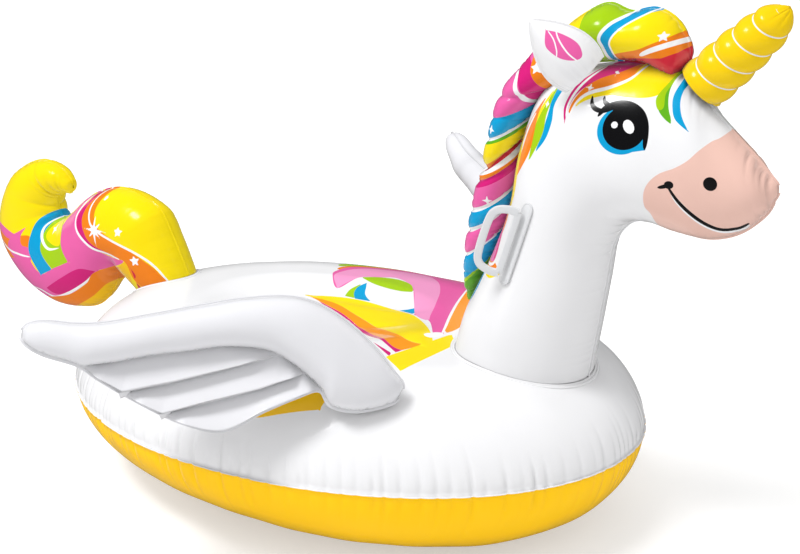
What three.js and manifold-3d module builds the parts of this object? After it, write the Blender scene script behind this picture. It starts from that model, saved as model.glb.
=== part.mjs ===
// Ride-on inflatable unicorn pool float, millimetres, +Z up, nose towards +X.
// The origin is on the flat underside, at the centre of the body's plan.
//
// The real float is thin vinyl film welded along its seams. Every sheet here is a
// shell WALL thick, open at its seam edges, with a small gap to the sheet it is
// welded to. Each air chamber has its own valve.
import * as THREE from "three";
import { ParametricGeometry } from "three/addons/geometries/ParametricGeometry.js";
import { mergeVertices } from "three/addons/utils/BufferGeometryUtils.js";
import Module from "manifold-3d";

const wasm = await Module();
wasm.setup();

// ---- Driving dimensions ---------------------------------------------------

const WALL = 2.4; // vinyl sheet, thicker than the real film so that it is a solid
const HALF_GAP = 0.6; // half of the gap between two sheets at their weld
const SEAT_ON = 2.0; // clearance of a piece that sits on a curved sheet

const BODY = {
  frontLength: 694, // from the origin to the seam
  rearLength: 636,
  halfWidth: 494,
  seamHeight: 195,
  rimHeight: 360,
  rimWidth: 237, // of the round rim, from the seam in to the deck
  keelWidth: 310, // and of the round underside, in to the flat patch it rests on
  keelRake: 60, // which is this much wider at the back and narrower at the front
};
const SEAT = { x: -40, halfLength: 300, halfWidth: 215, depth: 32 };
const WEB = { count: 3, pitch: 105, halfLength: 250, holeRadius: 26, clearance: 7 };

// Each tube is two panels welded along a front seam and a back seam in the
// middle plane, given as [x, z], with the half-width across at each station.
// Neck and head, from the neck's foot to the snout.
const HEAD_STATIONS = [
  { front: [600, 312], back: [322, 366], half: 145 },
  { front: [616, 430], back: [345, 440], half: 139 },
  { front: [624, 520], back: [395, 545], half: 126 },
  { front: [637, 605], back: [433, 655], half: 116 },
  { front: [668, 650], back: [452, 775], half: 112 },
  { front: [715, 656], back: [495, 880], half: 110 },
  { front: [765, 644], back: [600, 925], half: 104 },
  { front: [815, 639], back: [745, 924], half: 92 },
  { front: [866, 657], back: [806, 856], half: 76 },
  { front: [903, 697], back: [872, 788], half: 52 },
  { front: [921, 736], back: [920, 744], half: 3 },
];

// Mane rope up the back of the neck, and the forelock over the brow, whose front
// seam is its underside.
const MANE_STATIONS = [
  { front: [338, 440], back: [332, 439], half: 3 },
  { front: [356, 486], back: [331, 478], half: 24 },
  { front: [388, 553], back: [332, 545], half: 42 },
  { front: [419, 637], back: [346, 632], half: 50 },
  { front: [437, 720], back: [366, 715], half: 52 },
  { front: [442, 790], back: [386, 797], half: 50 },
  { front: [458, 850], back: [402, 868], half: 46 },
  { front: [474, 892], back: [432, 924], half: 38 },
  { front: [472, 924], back: [465, 930], half: 4 },
];
const FORELOCK_STATIONS = [
  { front: [499, 936], back: [496, 944], half: 4 },
  { front: [532, 928], back: [520, 990], half: 44 },
  { front: [585, 940], back: [575, 1022], half: 62 },
  { front: [645, 943], back: [645, 1029], half: 68 },
  { front: [700, 942], back: [712, 1005], half: 60 },
  { front: [728, 943], back: [746, 967], half: 32 },
  { front: [744, 946], back: [748, 950], half: 4 },
];

// Tail, from its foot on the body up over the arch, down and round to the curl.
const TAIL_STATIONS = [
  { front: [-434, 384], back: [-582, 332], half: 70 },
  { front: [-474, 456], back: [-640, 362], half: 80 },
  { front: [-522, 518], back: [-652, 362], half: 84 },
  { front: [-625, 550], back: [-660, 352], half: 84 },
  { front: [-725, 526], back: [-672, 325], half: 84 },
  { front: [-795, 478], back: [-695, 278], half: 84 },
  { front: [-838, 450], back: [-765, 228], half: 82 },
  { front: [-852, 447], back: [-880, 217], half: 80 },
  { front: [-860, 450], back: [-990, 262], half: 78 },
  { front: [-864, 456], back: [-1068, 348], half: 74 },
  { front: [-864, 466], back: [-1078, 438], half: 68 },
  { front: [-856, 480], back: [-1020, 540], half: 60 },
  { front: [-846, 494], back: [-925, 586], half: 46 },
  { front: [-834, 508], back: [-850, 562], half: 26 },
  { front: [-829, 527], back: [-829, 533], half: 4 },
];

// The horn narrows slowly, then closes in a round nose over its last part.
const HORN = {
  base: [777, 899],
  tilt: 45, // forwards from upright, degrees
  length: 192,
  radius: 41,
  taper: 0.45,
  nose: 0.2,
  bulges: 5,
  bulge: 3,
};

// An ear is widest near its foot and is hollowed like a cup.
const EAR = {
  foot: [600, -86, 916], // the right ear's; the left one is mirrored
  length: 132,
  width: 84,
  lean: -46, // turns of the ear's plane, degrees
  splay: 10,
  turn: 14,
  footAngle: 0.22, // how far round its half wave the outline starts
  fullness: 0.8,
  narrowing: 0.25,
  cup: 0.28,
  half: 9,
  frontSwell: 0.2, // the hollow side is nearly flat
};

// Wing outline in the wing's own plane: s runs out to the tip, t down to the
// feathers. Each station has the leading edge, the trailing edge, how far across
// the fat leading lobe reaches (0 to 1) and the lobe's half-thickness.
const WING_STATIONS = [
  { lead: [-32, -24], trail: [-26, -4], lobe: 1.0, half: 8 },
  { lead: [-12, -50], trail: [8, 14], lobe: 1.0, half: 28 },
  { lead: [26, -84], trail: [48, 27], lobe: 1.0, half: 42 },
  { lead: [78, -118], trail: [88, 26], lobe: 1.0, half: 50 },
  { lead: [128, -139], trail: [114, 8], lobe: 0.95, half: 53 },
  { lead: [172, -147], trail: [150, 28], lobe: 0.7, half: 54 },
  { lead: [222, -142], trail: [200, 63], lobe: 0.48, half: 52 },
  { lead: [290, -121], trail: [264, 112], lobe: 0.36, half: 50 },
  { lead: [352, -96], trail: [340, 112], lobe: 0.39, half: 48 },
  { lead: [432, -62], trail: [420, 92], lobe: 0.49, half: 45 },
  { lead: [505, -32], trail: [490, 69], lobe: 0.72, half: 41 },
  { lead: [552, -20], trail: [532, 52], lobe: 1.0, half: 36 },
  { lead: [600, -14], trail: [592, 46], lobe: 1.0, half: 30 },
  { lead: [636, 4], trail: [634, 28], lobe: 1.0, half: 12 },
];
const WING = {
  root: [346, -340, 346], // on the right-hand rim; the left wing is mirrored
  heading: 216.5, // compass direction of the tip from the root, degrees from +X
  rise: 14.4, // of the root-to-tip line above the horizontal
  roll: 73, // from a level wing to one whose feathers hang down
  featherHalf: 12,
  feathers: 3,
  leftRaise: 13, // the left wing rests this much higher
};

const HANDLE = {
  around: 0.6, // place on the neck panel, round from the front seam
  up: 0.265, // and along the neck
  lift: 4, // the plate is flat, so it stands off the round neck a little
  splay: 45,
  length: 136,
  reach: 62,
  band: 15,
  thickness: 7,
  bevel: 1.2,
  plateWidth: 26,
  plateThickness: 2,
};
const COLLAR = { width: 16, thickness: 2.4 };

// Pinch valve of a small chamber, and the wide two-stage valve of the body.
const VALVE = {
  flangeRadius: 15,
  flangeThickness: 1.2,
  stemRadius: 6.5,
  boreRadius: 4,
  stemHeight: 13,
  stemDepth: 9,
  bevel: 2, // of the stem's inner end
  lip: 1, // how much the ends of the stem and of the stopper narrow
  plugHead: 6.2,
  plugThickness: 2,
  plugDepth: 3.2, // short and tapered, so that it swings out of the bore
  clearance: 0.4,
};
const MAIN_VALVE = {
  flangeRadius: 34,
  seatRadius: 22,
  boreRadius: 17,
  height: 7, // of the seat above the flange's underside, and half as much again below
  capHeight: 6,
  capDepth: 2,
  flapRadius: 15.5,
  flapThickness: 1.2,
  lip: 2, // step from the seat's wall out to the flange's slope
  edge: 1, // bevel of the cap
  slope: 1.6, // height of the flange beside the seat
  clearance: 0.6, // between the cap's stopper and the bore
};

const COLOUR = {
  white: 0xf8f8fa,
  yellow: 0xffc400,
  horn: 0xfad20f,
  pink: 0xec5aa5,
  lime: 0xa5cd14,
  clear: 0xe9eef0,
};

// ---- Sheets and solids -----------------------------------------------------

// Drops the triangles that merging left with two equal corners.
function withoutSlivers(geometry) {
  const index = geometry.index.array;
  const kept = [];
  for (let i = 0; i < index.length; i += 3) {
    const [a, b, c] = [index[i], index[i + 1], index[i + 2]];
    if (a !== b && b !== c && c !== a) kept.push(a, b, c);
  }
  return geometry.setIndex(kept);
}

function welded(geometry) {
  const bare = geometry.clone();
  bare.deleteAttribute("normal");
  bare.deleteAttribute("uv");
  return withoutSlivers(mergeVertices(bare, 1e-2));
}

// Turns an open surface, faces outwards, into a closed shell of the given wall.
// settle may move an inner point, to keep it on its own side of a weld.
function thickened(surface, wall, settle = () => {}) {
  const outer = welded(surface);
  outer.computeVertexNormals();
  const place = outer.attributes.position;
  const count = place.count;
  const points = [...place.array];
  const point = new THREE.Vector3();
  const normal = new THREE.Vector3();
  for (let i = 0; i < count; i += 1) {
    point.fromBufferAttribute(place, i);
    normal.fromBufferAttribute(outer.attributes.normal, i);
    point.addScaledVector(normal, -wall);
    settle(point);
    points.push(point.x, point.y, point.z);
  }
  const faces = [];
  const edges = new Set();
  const index = outer.index.array;
  for (let i = 0; i < index.length; i += 3) {
    const corners = [index[i], index[i + 1], index[i + 2]];
    faces.push(...corners, corners[2] + count, corners[1] + count, corners[0] + count);
    corners.forEach((a, k) => edges.add(`${a},${corners[(k + 1) % 3]}`));
  }
  for (const edge of edges) {
    const [a, b] = edge.split(",").map(Number);
    if (!edges.has(`${b},${a}`)) faces.push(b, a, a + count, b, a + count, b + count);
  }
  const shell = new THREE.BufferGeometry();
  shell.setAttribute("position", new THREE.Float32BufferAttribute(points, 3));
  return shell.setIndex(faces);
}

function flipped(geometry) {
  const index = [...geometry.index.array];
  for (let i = 0; i < index.length; i += 3) {
    [index[i + 1], index[i + 2]] = [index[i + 2], index[i + 1]];
  }
  return geometry.clone().setIndex(index);
}

function toSolid(geometry) {
  const merged = welded(geometry);
  const vertProperties = new Float32Array(merged.attributes.position.array);
  const triVerts = new Uint32Array(merged.index.array);
  return new wasm.Manifold(new wasm.Mesh({ numProp: 3, vertProperties, triVerts }));
}

function cut(geometry, tool) {
  const mesh = toSolid(geometry).subtract(toSolid(tool)).getMesh();
  const result = new THREE.BufferGeometry();
  result.setAttribute("position", new THREE.BufferAttribute(mesh.vertProperties, 3));
  return result.setIndex(new THREE.BufferAttribute(mesh.triVerts, 1));
}

const float = new THREE.Group();

function add(name, geometry, colour, parent = float) {
  const material = new THREE.MeshStandardMaterial({ color: colour, roughness: 0.3, metalness: 0 });
  const mesh = new THREE.Mesh(geometry, material);
  mesh.name = name;
  parent.add(mesh);
  return mesh;
}

// ---- Body ------------------------------------------------------------------

// The plan is an egg: two half ellipses that meet at the widest place.
function outlineRadius(angle) {
  const length = Math.cos(angle) > 0 ? BODY.frontLength : BODY.rearLength;
  return 1 / Math.hypot(Math.cos(angle) / length, Math.sin(angle) / BODY.halfWidth);
}

function seatDip(x, y) {
  const reach = Math.hypot((x - SEAT.x) / SEAT.halfLength, y / SEAT.halfWidth);
  const level = Math.max(0, 1 - reach * reach);
  return SEAT.depth * level * level * (3 - 2 * level);
}

// Height of the body's top sheet above the underside.
function topHeight(x, y) {
  const angle = Math.atan2(y, x);
  const inset = Math.max(0, outlineRadius(angle) - Math.hypot(x, y));
  const slope = Math.max(0, 1 - inset / BODY.rimWidth);
  const rise = BODY.rimHeight - BODY.seamHeight;
  return BODY.seamHeight + rise * Math.sqrt(1 - slope * slope) - seatDip(x, y);
}

// Height of a point that stands off the top sheet, measured square to the sheet.
function heightAbove(x, y, standOff) {
  const step = 1;
  const height = topHeight(x, y);
  const slopeX = (topHeight(x + step, y) - height) / step;
  const slopeY = (topHeight(x, y + step) - height) / step;
  return height + standOff * Math.hypot(1, slopeX, slopeY);
}

const RIM_SHARE = 0.6; // part of a profile's steps spent on the round rim

// Inset from the outline, and rise from the seam (0 to 1), along a body profile.
function rimProfile(v, radius, width) {
  if (v <= RIM_SHARE) {
    const turn = ((v / RIM_SHARE) * Math.PI) / 2;
    return { inset: width * (1 - Math.cos(turn)), rise: Math.sin(turn) };
  }
  const across = (v - RIM_SHARE) / (1 - RIM_SHARE);
  return { inset: width + (radius - width) * across, rise: 1 };
}

function bodyTopPoint(u, v, target) {
  const angle = u * 2 * Math.PI;
  const radius = outlineRadius(angle);
  const { inset, rise } = rimProfile(v, radius, BODY.rimWidth);
  const x = (radius - inset) * Math.cos(angle);
  const y = (radius - inset) * Math.sin(angle);
  const height = BODY.rimHeight - BODY.seamHeight;
  target.set(x, y, BODY.seamHeight + HALF_GAP + height * rise - seatDip(x, y));
}

function bodyBottomPoint(u, v, target) {
  const angle = -u * 2 * Math.PI;
  const radius = outlineRadius(angle);
  const width = BODY.keelWidth - BODY.keelRake * Math.cos(angle);
  const { inset, rise } = rimProfile(v, radius, width);
  const x = (radius - inset) * Math.cos(angle);
  const y = (radius - inset) * Math.sin(angle);
  target.set(x, y, (BODY.seamHeight - HALF_GAP) * (1 - rise));
}

const BODY_AROUND = 36;
const BODY_ACROSS = 8;

function bodyTopSheet() {
  const surface = new ParametricGeometry(bodyTopPoint, BODY_AROUND, BODY_ACROSS);
  return thickened(surface, WALL, (p) => {
    p.z = Math.max(p.z, BODY.seamHeight + HALF_GAP);
  });
}

function bodyBottomSheet() {
  const surface = new ParametricGeometry(bodyBottomPoint, BODY_AROUND, BODY_ACROSS);
  return thickened(surface, WALL, (p) => {
    p.z = Math.min(p.z, BODY.seamHeight - HALF_GAP);
  });
}

// One fore-and-aft web that ties the seat to the underside, with air holes.
function seatWeb(y) {
  const steps = 8;
  const holePlaces = [-0.6, 0, 0.6]; // shares of the half-length
  const outline = new THREE.Shape();
  const foot = WALL + WEB.clearance;
  outline.moveTo(SEAT.x - WEB.halfLength, foot);
  outline.lineTo(SEAT.x + WEB.halfLength, foot);
  for (let i = 0; i <= steps; i += 1) {
    const x = SEAT.x + WEB.halfLength * (1 - (2 * i) / steps);
    outline.lineTo(x, topHeight(x, y) - WALL - WEB.clearance);
  }
  for (const place of holePlaces) {
    const hole = new THREE.Path();
    const x = SEAT.x + place * WEB.halfLength;
    hole.absarc(x, BODY.rimHeight / 2, WEB.holeRadius, 0, 2 * Math.PI, true);
    outline.holes.push(hole);
  }
  const settings = { depth: WALL, bevelEnabled: false, curveSegments: 4 };
  const web = new THREE.ExtrudeGeometry(outline, settings);
  return web.rotateX(Math.PI / 2).translate(0, y + WALL / 2, 0);
}

// ---- Two-panel tubes: neck and head, mane, forelock, tail -------------------

// Surface of one panel. u goes round from the front seam to the back seam on the
// given side (+1 left, -1 right), v goes along the tube.
function panelPoint(stations, side) {
  const front = new THREE.SplineCurve(stations.map((s) => new THREE.Vector2(...s.front)));
  const back = new THREE.SplineCurve(stations.map((s) => new THREE.Vector2(...s.back)));
  const half = new THREE.SplineCurve(stations.map((s, i) => new THREE.Vector2(i, s.half)));
  return (u, v, target) => {
    const a = front.getPoint(v);
    const b = back.getPoint(v);
    const turn = u * Math.PI;
    const along = (1 - Math.cos(turn)) / 2;
    const x = a.x + (b.x - a.x) * along;
    const z = a.y + (b.y - a.y) * along;
    target.set(x, side * (HALF_GAP + half.getPoint(v).y * Math.sin(turn)), z);
  };
}

function panel(point, side, around, along) {
  const surface = welded(new ParametricGeometry(point, around, along));
  const facing = side > 0 ? surface : flipped(surface);
  const keepToSide = (p) => {
    p.y = side * Math.max(side * p.y, HALF_GAP / 2);
  };
  return thickened(facing, WALL, keepToSide);
}

// The foot of a tube is bent to lie on the body's top sheet.
function restingOnBody(point, blendEnd) {
  return (u, v, target) => {
    point(u, v, target);
    if (v >= blendEnd) return;
    const foot = heightAbove(target.x, target.y, SEAT_ON);
    const share = 1 - v / blendEnd;
    const atFoot = new THREE.Vector3();
    point(u, 0, atFoot);
    target.z += (foot - atFoot.z) * share;
  };
}

const FOOT_BLEND = 0.12;

function addTube(name, stations, colours, around, along, onBody) {
  for (const [label, side] of [["left", 1], ["right", -1]]) {
    const free = panelPoint(stations, side);
    const point = onBody ? restingOnBody(free, FOOT_BLEND) : free;
    add(`${name}_${label}_panel`, panel(point, side, around, along), colours);
  }
}

// ---- Weld collar round a tube's foot ---------------------------------------

// A flat ring on the body, just outside the foot of the given tube.
function collar(stations, skirt) {
  const foot = stations[0];
  const centre = (foot.front[0] + foot.back[0]) / 2;
  const reach = Math.abs(foot.front[0] - foot.back[0]) / 2;
  const lift = 0.8 * SEAT_ON;
  const corners = [
    [skirt, lift],
    [skirt + COLLAR.width, lift],
    [skirt + COLLAR.width, lift + COLLAR.thickness / 2],
    [skirt, lift + COLLAR.thickness],
  ];
  const section = (u, v, target) => {
    const angle = u * 2 * Math.PI;
    const [out, up] = corners[Math.round(v * corners.length) % corners.length];
    const x = centre + (reach + out) * Math.cos(angle);
    const y = (foot.half + out) * Math.sin(angle);
    target.set(x, y, heightAbove(x, y, up));
  };
  return welded(new ParametricGeometry(section, 24, corners.length));
}

// ---- Horn and ears ----------------------------------------------------------

function horn() {
  const steps = 12;
  const profile = [];
  for (let i = 0; i <= steps; i += 1) {
    const t = i / steps;
    const nose = Math.max(0, (t - 1 + HORN.nose) / HORN.nose);
    const radius = HORN.radius * (1 - HORN.taper * t ** 2.5) * Math.sqrt(1 - nose * nose);
    const bulge = HORN.bulge * Math.abs(Math.sin(t * HORN.bulges * Math.PI));
    profile.push(new THREE.Vector2(i < steps ? radius + bulge : 0, t * HORN.length));
  }
  const cone = new THREE.LatheGeometry(profile, 12).rotateX(Math.PI / 2);
  return thickened(cone, WALL);
}

// One panel of an ear, in the ear's plane: x across, z up to the tip. The front
// panel (side +1) is hollowed like a cup, and the back one follows it.
function earPanel(side) {
  const point = (u, v, target) => {
    const wave = Math.sin(Math.PI * (EAR.footAngle + (1 - EAR.footAngle) * v));
    const half = (EAR.width / 2) * wave ** EAR.fullness * (1 - EAR.narrowing * v);
    const x = half * (2 * u - 1);
    const cup = EAR.cup * ((half * half - x * x) / Math.max(half, 1));
    const swell = EAR.half * Math.sqrt(Math.max(0, 1 - (2 * u - 1) ** 2)) * (1 - v);
    const share = side > 0 ? EAR.frontSwell : 1;
    target.set(x, -cup - side * (HALF_GAP + WALL + swell * share), v * EAR.length);
  };
  const surface = welded(new ParametricGeometry(point, 5, 6));
  return thickened(side > 0 ? surface : flipped(surface), WALL);
}

// The right ear's frame opens towards -Y; the left ear's is its mirror image.
function earFrame(side) {
  const angles = [EAR.splay, EAR.lean, EAR.turn].map(THREE.MathUtils.degToRad);
  const turn = new THREE.Matrix4();
  turn.makeRotationFromEuler(new THREE.Euler(...angles, "ZYX"));
  turn.setPosition(...EAR.foot);
  if (side > 0) turn.premultiply(new THREE.Matrix4().makeScale(1, -1, 1));
  const frame = new THREE.Group();
  frame.applyMatrix4(turn);
  return frame;
}

// ---- Wings -------------------------------------------------------------------

// Surface of one wing sheet in the wing's plane: x is s, y is -t, z is out of it.
function wingPoint(side) {
  const at = (pick) => {
    const points = WING_STATIONS.map((s) => new THREE.Vector2(...pick(s)));
    return new THREE.SplineCurve(points);
  };
  const lead = at((s) => s.lead);
  const trail = at((s) => s.trail);
  const lobe = at((s) => [s.lobe, s.half]);
  return (u, v, target) => {
    const a = lead.getPoint(v);
    const b = trail.getPoint(v);
    const { x: reach, y: half } = lobe.getPoint(v);
    const across = (1 - Math.cos(u * Math.PI)) / 2;
    const share = Math.min(1, reach);
    let height = 0;
    if (across <= share) {
      const place = (2 * across) / share - 1;
      height = half * Math.sqrt(Math.max(0, 1 - place * place));
    } else {
      const place = ((across - share) / (1 - share)) * WING.feathers;
      const fullness = Math.min(1, (1 - share) * WING.feathers);
      height = WING.featherHalf * Math.abs(Math.sin(place * Math.PI)) * fullness;
    }
    const x = a.x + (b.x - a.x) * across;
    const y = -(a.y + (b.y - a.y) * across);
    target.set(x, y, side * (HALF_GAP + WALL + height));
  };
}

function wingSheet(side) {
  const surface = welded(new ParametricGeometry(wingPoint(side), 10, 14));
  const keepToSide = (p) => {
    p.z = side * Math.max(side * p.z, HALF_GAP);
  };
  return thickened(side > 0 ? surface : flipped(surface), WALL, keepToSide);
}

// The wing's frame: x out to the tip, y up, z out of the face that looks back.
function wingFrame(mirror, raise) {
  const frame = new THREE.Group();
  const rad = THREE.MathUtils.degToRad;
  const out = new THREE.Vector3(
    Math.cos(rad(WING.heading)) * Math.cos(rad(WING.rise)),
    Math.sin(rad(WING.heading)) * Math.cos(rad(WING.rise)),
    Math.sin(rad(WING.rise)),
  );
  const level = new THREE.Vector3(Math.sin(rad(WING.heading)), -Math.cos(rad(WING.heading)), 0);
  const flap = level.clone();
  const up = level.clone().applyAxisAngle(out, -rad(WING.roll));
  const face = new THREE.Vector3().crossVectors(out, up);
  const turn = new THREE.Matrix4().makeBasis(out, up, face);
  turn.premultiply(new THREE.Matrix4().makeRotationAxis(flap, rad(raise)));
  turn.setPosition(new THREE.Vector3(...WING.root));
  if (mirror) turn.premultiply(new THREE.Matrix4().makeScale(1, -1, 1));
  frame.applyMatrix4(turn);
  return frame;
}

// ---- Handles ------------------------------------------------------------------

const CORNER_PULL = 0.8; // how square the loop's outer corners are
const FLAT_SHARE = 0.45; // part of the loop's outer side that is straight

// A flat D-shaped loop, its straight side along y, reaching out along x.
function handleLoop() {
  const { length, reach, band, thickness, bevel } = HANDLE;
  const ring = (inset, ShapeClass) => {
    const half = length / 2 - inset;
    const far = reach - inset;
    const path = new ShapeClass();
    path.moveTo(inset ? band : 0, -half);
    const corner = CORNER_PULL * half;
    const flat = FLAT_SHARE * half;
    path.bezierCurveTo(CORNER_PULL * far, -half, far, -corner, far, -flat);
    path.lineTo(far, flat);
    path.bezierCurveTo(far, corner, CORNER_PULL * far, half, inset ? band : 0, half);
    path.closePath();
    return path;
  };
  const outline = ring(0, THREE.Shape);
  outline.holes.push(ring(band, THREE.Path));
  const loop = new THREE.ExtrudeGeometry(outline, {
    depth: thickness - 2 * bevel,
    bevelThickness: bevel,
    bevelSize: bevel,
    bevelOffset: -bevel,
    bevelSegments: 1,
    curveSegments: 5,
  });
  return loop.translate(0, 0, bevel - thickness / 2);
}

function handlePlate() {
  const { length, plateWidth, plateThickness } = HANDLE;
  const radius = plateWidth / 2;
  const straight = length / 2;
  const outline = new THREE.Shape();
  outline.absarc(0, straight, radius, 0, Math.PI);
  outline.absarc(0, -straight, radius, Math.PI, 2 * Math.PI);
  outline.closePath();
  const settings = { depth: plateThickness, bevelEnabled: false, curveSegments: 6 };
  return new THREE.ExtrudeGeometry(outline, settings);
}

// The handle's frame lies on the neck: y runs up the plate, z stands off the neck.
function addHandle(label, side) {
  const { place, normal, along } = frameOn(panelPoint(HEAD_STATIONS, 1), HANDLE.around, HANDLE.up);
  const across = new THREE.Vector3().crossVectors(along, normal);
  const turn = new THREE.Matrix4().makeBasis(across, along, normal);
  turn.setPosition(place.addScaledVector(normal, HANDLE.lift));
  if (side < 0) turn.premultiply(new THREE.Matrix4().makeScale(1, -1, 1));
  const frame = new THREE.Group();
  frame.applyMatrix4(turn);
  add(`handle_${label}_plate`, handlePlate(), COLOUR.clear, frame);
  const loop = add(`handle_${label}_loop`, handleLoop(), COLOUR.clear, frame);
  loop.position.z = HANDLE.plateThickness + HANDLE.thickness;
  loop.rotation.y = -THREE.MathUtils.degToRad(HANDLE.splay);
  float.add(frame);
}

// ---- Valves --------------------------------------------------------------------

const VALVE_SEGMENTS = 12;
const MAIN_SEGMENTS = 20;
const DRILL_LENGTH = 60; // more than any sheet's wall, measured square to it

// Closed solid of revolution about z from a profile of [radius, height] corners.
function turned(profile, segments = VALVE_SEGMENTS) {
  const corners = profile.map(([r, h]) => new THREE.Vector2(r, h));
  const closed = profile[0][0] === 0 ? corners : [...corners, corners[0]];
  return new THREE.LatheGeometry(closed, segments).rotateX(Math.PI / 2);
}

function valveFlange() {
  const { flangeRadius, flangeThickness, stemRadius, bevel, clearance } = VALVE;
  const inner = stemRadius + clearance;
  return turned([
    [inner, 0],
    [flangeRadius, 0],
    [inner + bevel, flangeThickness],
    [inner, flangeThickness],
  ]);
}

function valveStem() {
  const { stemRadius, boreRadius, stemHeight, stemDepth, bevel, lip } = VALVE;
  return turned([
    [boreRadius, -stemDepth],
    [stemRadius - lip, -stemDepth],
    [stemRadius, -stemDepth + bevel],
    [stemRadius, stemHeight],
    [boreRadius, stemHeight],
  ]);
}

// The stopper. It swings on a tether whose fold is beside the stem's rim.
function valvePlug() {
  const { plugHead, plugDepth, plugThickness, boreRadius, lip, clearance } = VALVE;
  const stopper = boreRadius - clearance;
  return turned([
    [0, -plugDepth],
    [stopper - lip, -plugDepth],
    [stopper, 0],
    [stopper, clearance],
    [plugHead, clearance],
    [plugHead, clearance + plugThickness],
    [0, clearance + plugThickness],
  ]);
}

function frameOn(point, u, v) {
  const step = 1e-3;
  const place = new THREE.Vector3();
  const alongU = new THREE.Vector3();
  const alongV = new THREE.Vector3();
  point(u, v, place);
  point(u + step, v, alongU);
  point(u, v + step, alongV);
  const along = alongV.sub(place).normalize();
  const normal = alongU.sub(place).cross(along).normalize();
  return { place, normal, along };
}

function valveGroup(place, normal) {
  const group = new THREE.Group();
  group.position.copy(place).addScaledVector(normal, SEAT_ON);
  group.quaternion.setFromUnitVectors(new THREE.Vector3(0, 0, 1), normal);
  return group;
}

// Fits a pinch valve on a sheet and cuts the hole that it goes through.
function addValve(name, sheet, point, u, v) {
  const { place, normal } = frameOn(point, u, v);
  const group = valveGroup(place, normal);
  add(`${name}_flange`, valveFlange(), COLOUR.clear, group);
  add(`${name}_stem`, valveStem(), COLOUR.clear, group);
  const plug = add(`${name}_plug`, valvePlug(), COLOUR.clear, group);
  plug.position.z = VALVE.stemHeight;
  sheet.parent.add(group);
  openSheet(sheet, group, VALVE.stemRadius + 2 * VALVE.clearance);
}

// Cuts a round hole through a sheet, along the z axis of a group beside it.
function openSheet(sheet, group, radius) {
  const drill = new THREE.CylinderGeometry(radius, radius, DRILL_LENGTH, VALVE_SEGMENTS);
  group.updateMatrix();
  drill.rotateX(Math.PI / 2).applyMatrix4(group.matrix);
  sheet.geometry = cut(sheet.geometry, drill);
}

function addMainValve(u, v) {
  const { flangeRadius, seatRadius, boreRadius, height, capHeight, capDepth } = MAIN_VALVE;
  const { flapRadius, flapThickness, lip, edge, slope, clearance } = MAIN_VALVE;
  const { place, normal } = frameOn(bodyTopPoint, u, v);
  const group = valveGroup(place, normal);
  const seat = turned([
    [boreRadius, -1.5 * height],
    [seatRadius - lip, -1.5 * height],
    [seatRadius - lip, 0],
    [flangeRadius, 0],
    [seatRadius + lip, slope],
    [seatRadius, height],
    [boreRadius, height],
  ], MAIN_SEGMENTS);
  add("main_valve_seat", seat, COLOUR.clear, group);
  const cap = turned([
    [0, height - capDepth],
    [boreRadius - clearance, height - capDepth],
    [boreRadius - clearance, height + VALVE.clearance],
    [seatRadius + edge, height + VALVE.clearance],
    [seatRadius + edge, height + capHeight - edge],
    [seatRadius, height + capHeight],
    [0, height + capHeight],
  ], MAIN_SEGMENTS);
  add("main_valve_cap", cap, COLOUR.clear, group);
  const flap = new THREE.CylinderGeometry(flapRadius, flapRadius, flapThickness, MAIN_SEGMENTS);
  const flapMesh = add("main_valve_flap", flap.rotateX(Math.PI / 2), COLOUR.clear, group);
  flapMesh.position.z = -height;
  float.add(group);
  openSheet(float.getObjectByName("body_top_sheet"), group, seatRadius);
}

// ---- Assembly --------------------------------------------------------------------

add("body_top_sheet", bodyTopSheet(), COLOUR.white);
add("body_bottom_sheet", bodyBottomSheet(), COLOUR.yellow);
for (let i = 0; i < WEB.count; i += 1) {
  const y = (i - (WEB.count - 1) / 2) * WEB.pitch;
  add(`seat_web_${i + 1}`, seatWeb(y), COLOUR.white);
}

addTube("head", HEAD_STATIONS, COLOUR.white, 8, 16, true);
addTube("mane", MANE_STATIONS, COLOUR.pink, 5, 12, false);
addTube("forelock", FORELOCK_STATIONS, COLOUR.lime, 5, 8, false);
addTube("tail", TAIL_STATIONS, COLOUR.horn, 6, 22, true);
add("neck_weld_collar", collar(HEAD_STATIONS, 3), COLOUR.white);
add("tail_weld_collar", collar(TAIL_STATIONS, 8), COLOUR.white);

const hornFrame = new THREE.Group();
hornFrame.position.set(HORN.base[0], 0, HORN.base[1]);
hornFrame.rotation.y = THREE.MathUtils.degToRad(HORN.tilt);
add("horn", horn(), COLOUR.horn, hornFrame);
float.add(hornFrame);

for (const [label, side] of [["left", 1], ["right", -1]]) {
  const frame = earFrame(side);
  add(`ear_${label}_front_panel`, earPanel(1), COLOUR.white, frame);
  add(`ear_${label}_back_panel`, earPanel(-1), COLOUR.white, frame);
  float.add(frame);
  addHandle(label, side);
}

for (const [label, mirror, raise] of [["left", true, WING.leftRaise], ["right", false, 0]]) {
  const frame = wingFrame(mirror, raise);
  add(`wing_${label}_front_sheet`, wingSheet(-1), COLOUR.white, frame);
  const back = add(`wing_${label}_back_sheet`, wingSheet(1), COLOUR.white, frame);
  addValve(`wing_${label}_valve`, back, wingPoint(1), 0.3, 0.3);
  float.add(frame);
}

const headPanel = float.getObjectByName("head_left_panel");
addValve("head_valve", headPanel, panelPoint(HEAD_STATIONS, 1), 0.62, 0.1);
const tailPanel = float.getObjectByName("tail_left_panel");
addValve("tail_valve", tailPanel, panelPoint(TAIL_STATIONS, 1), 0.5, 0.14);
addMainValve(0.36, 0.2);

export default float;
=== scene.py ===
import math

import bpy
import numpy as np
from mathutils import Matrix, Vector


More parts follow.
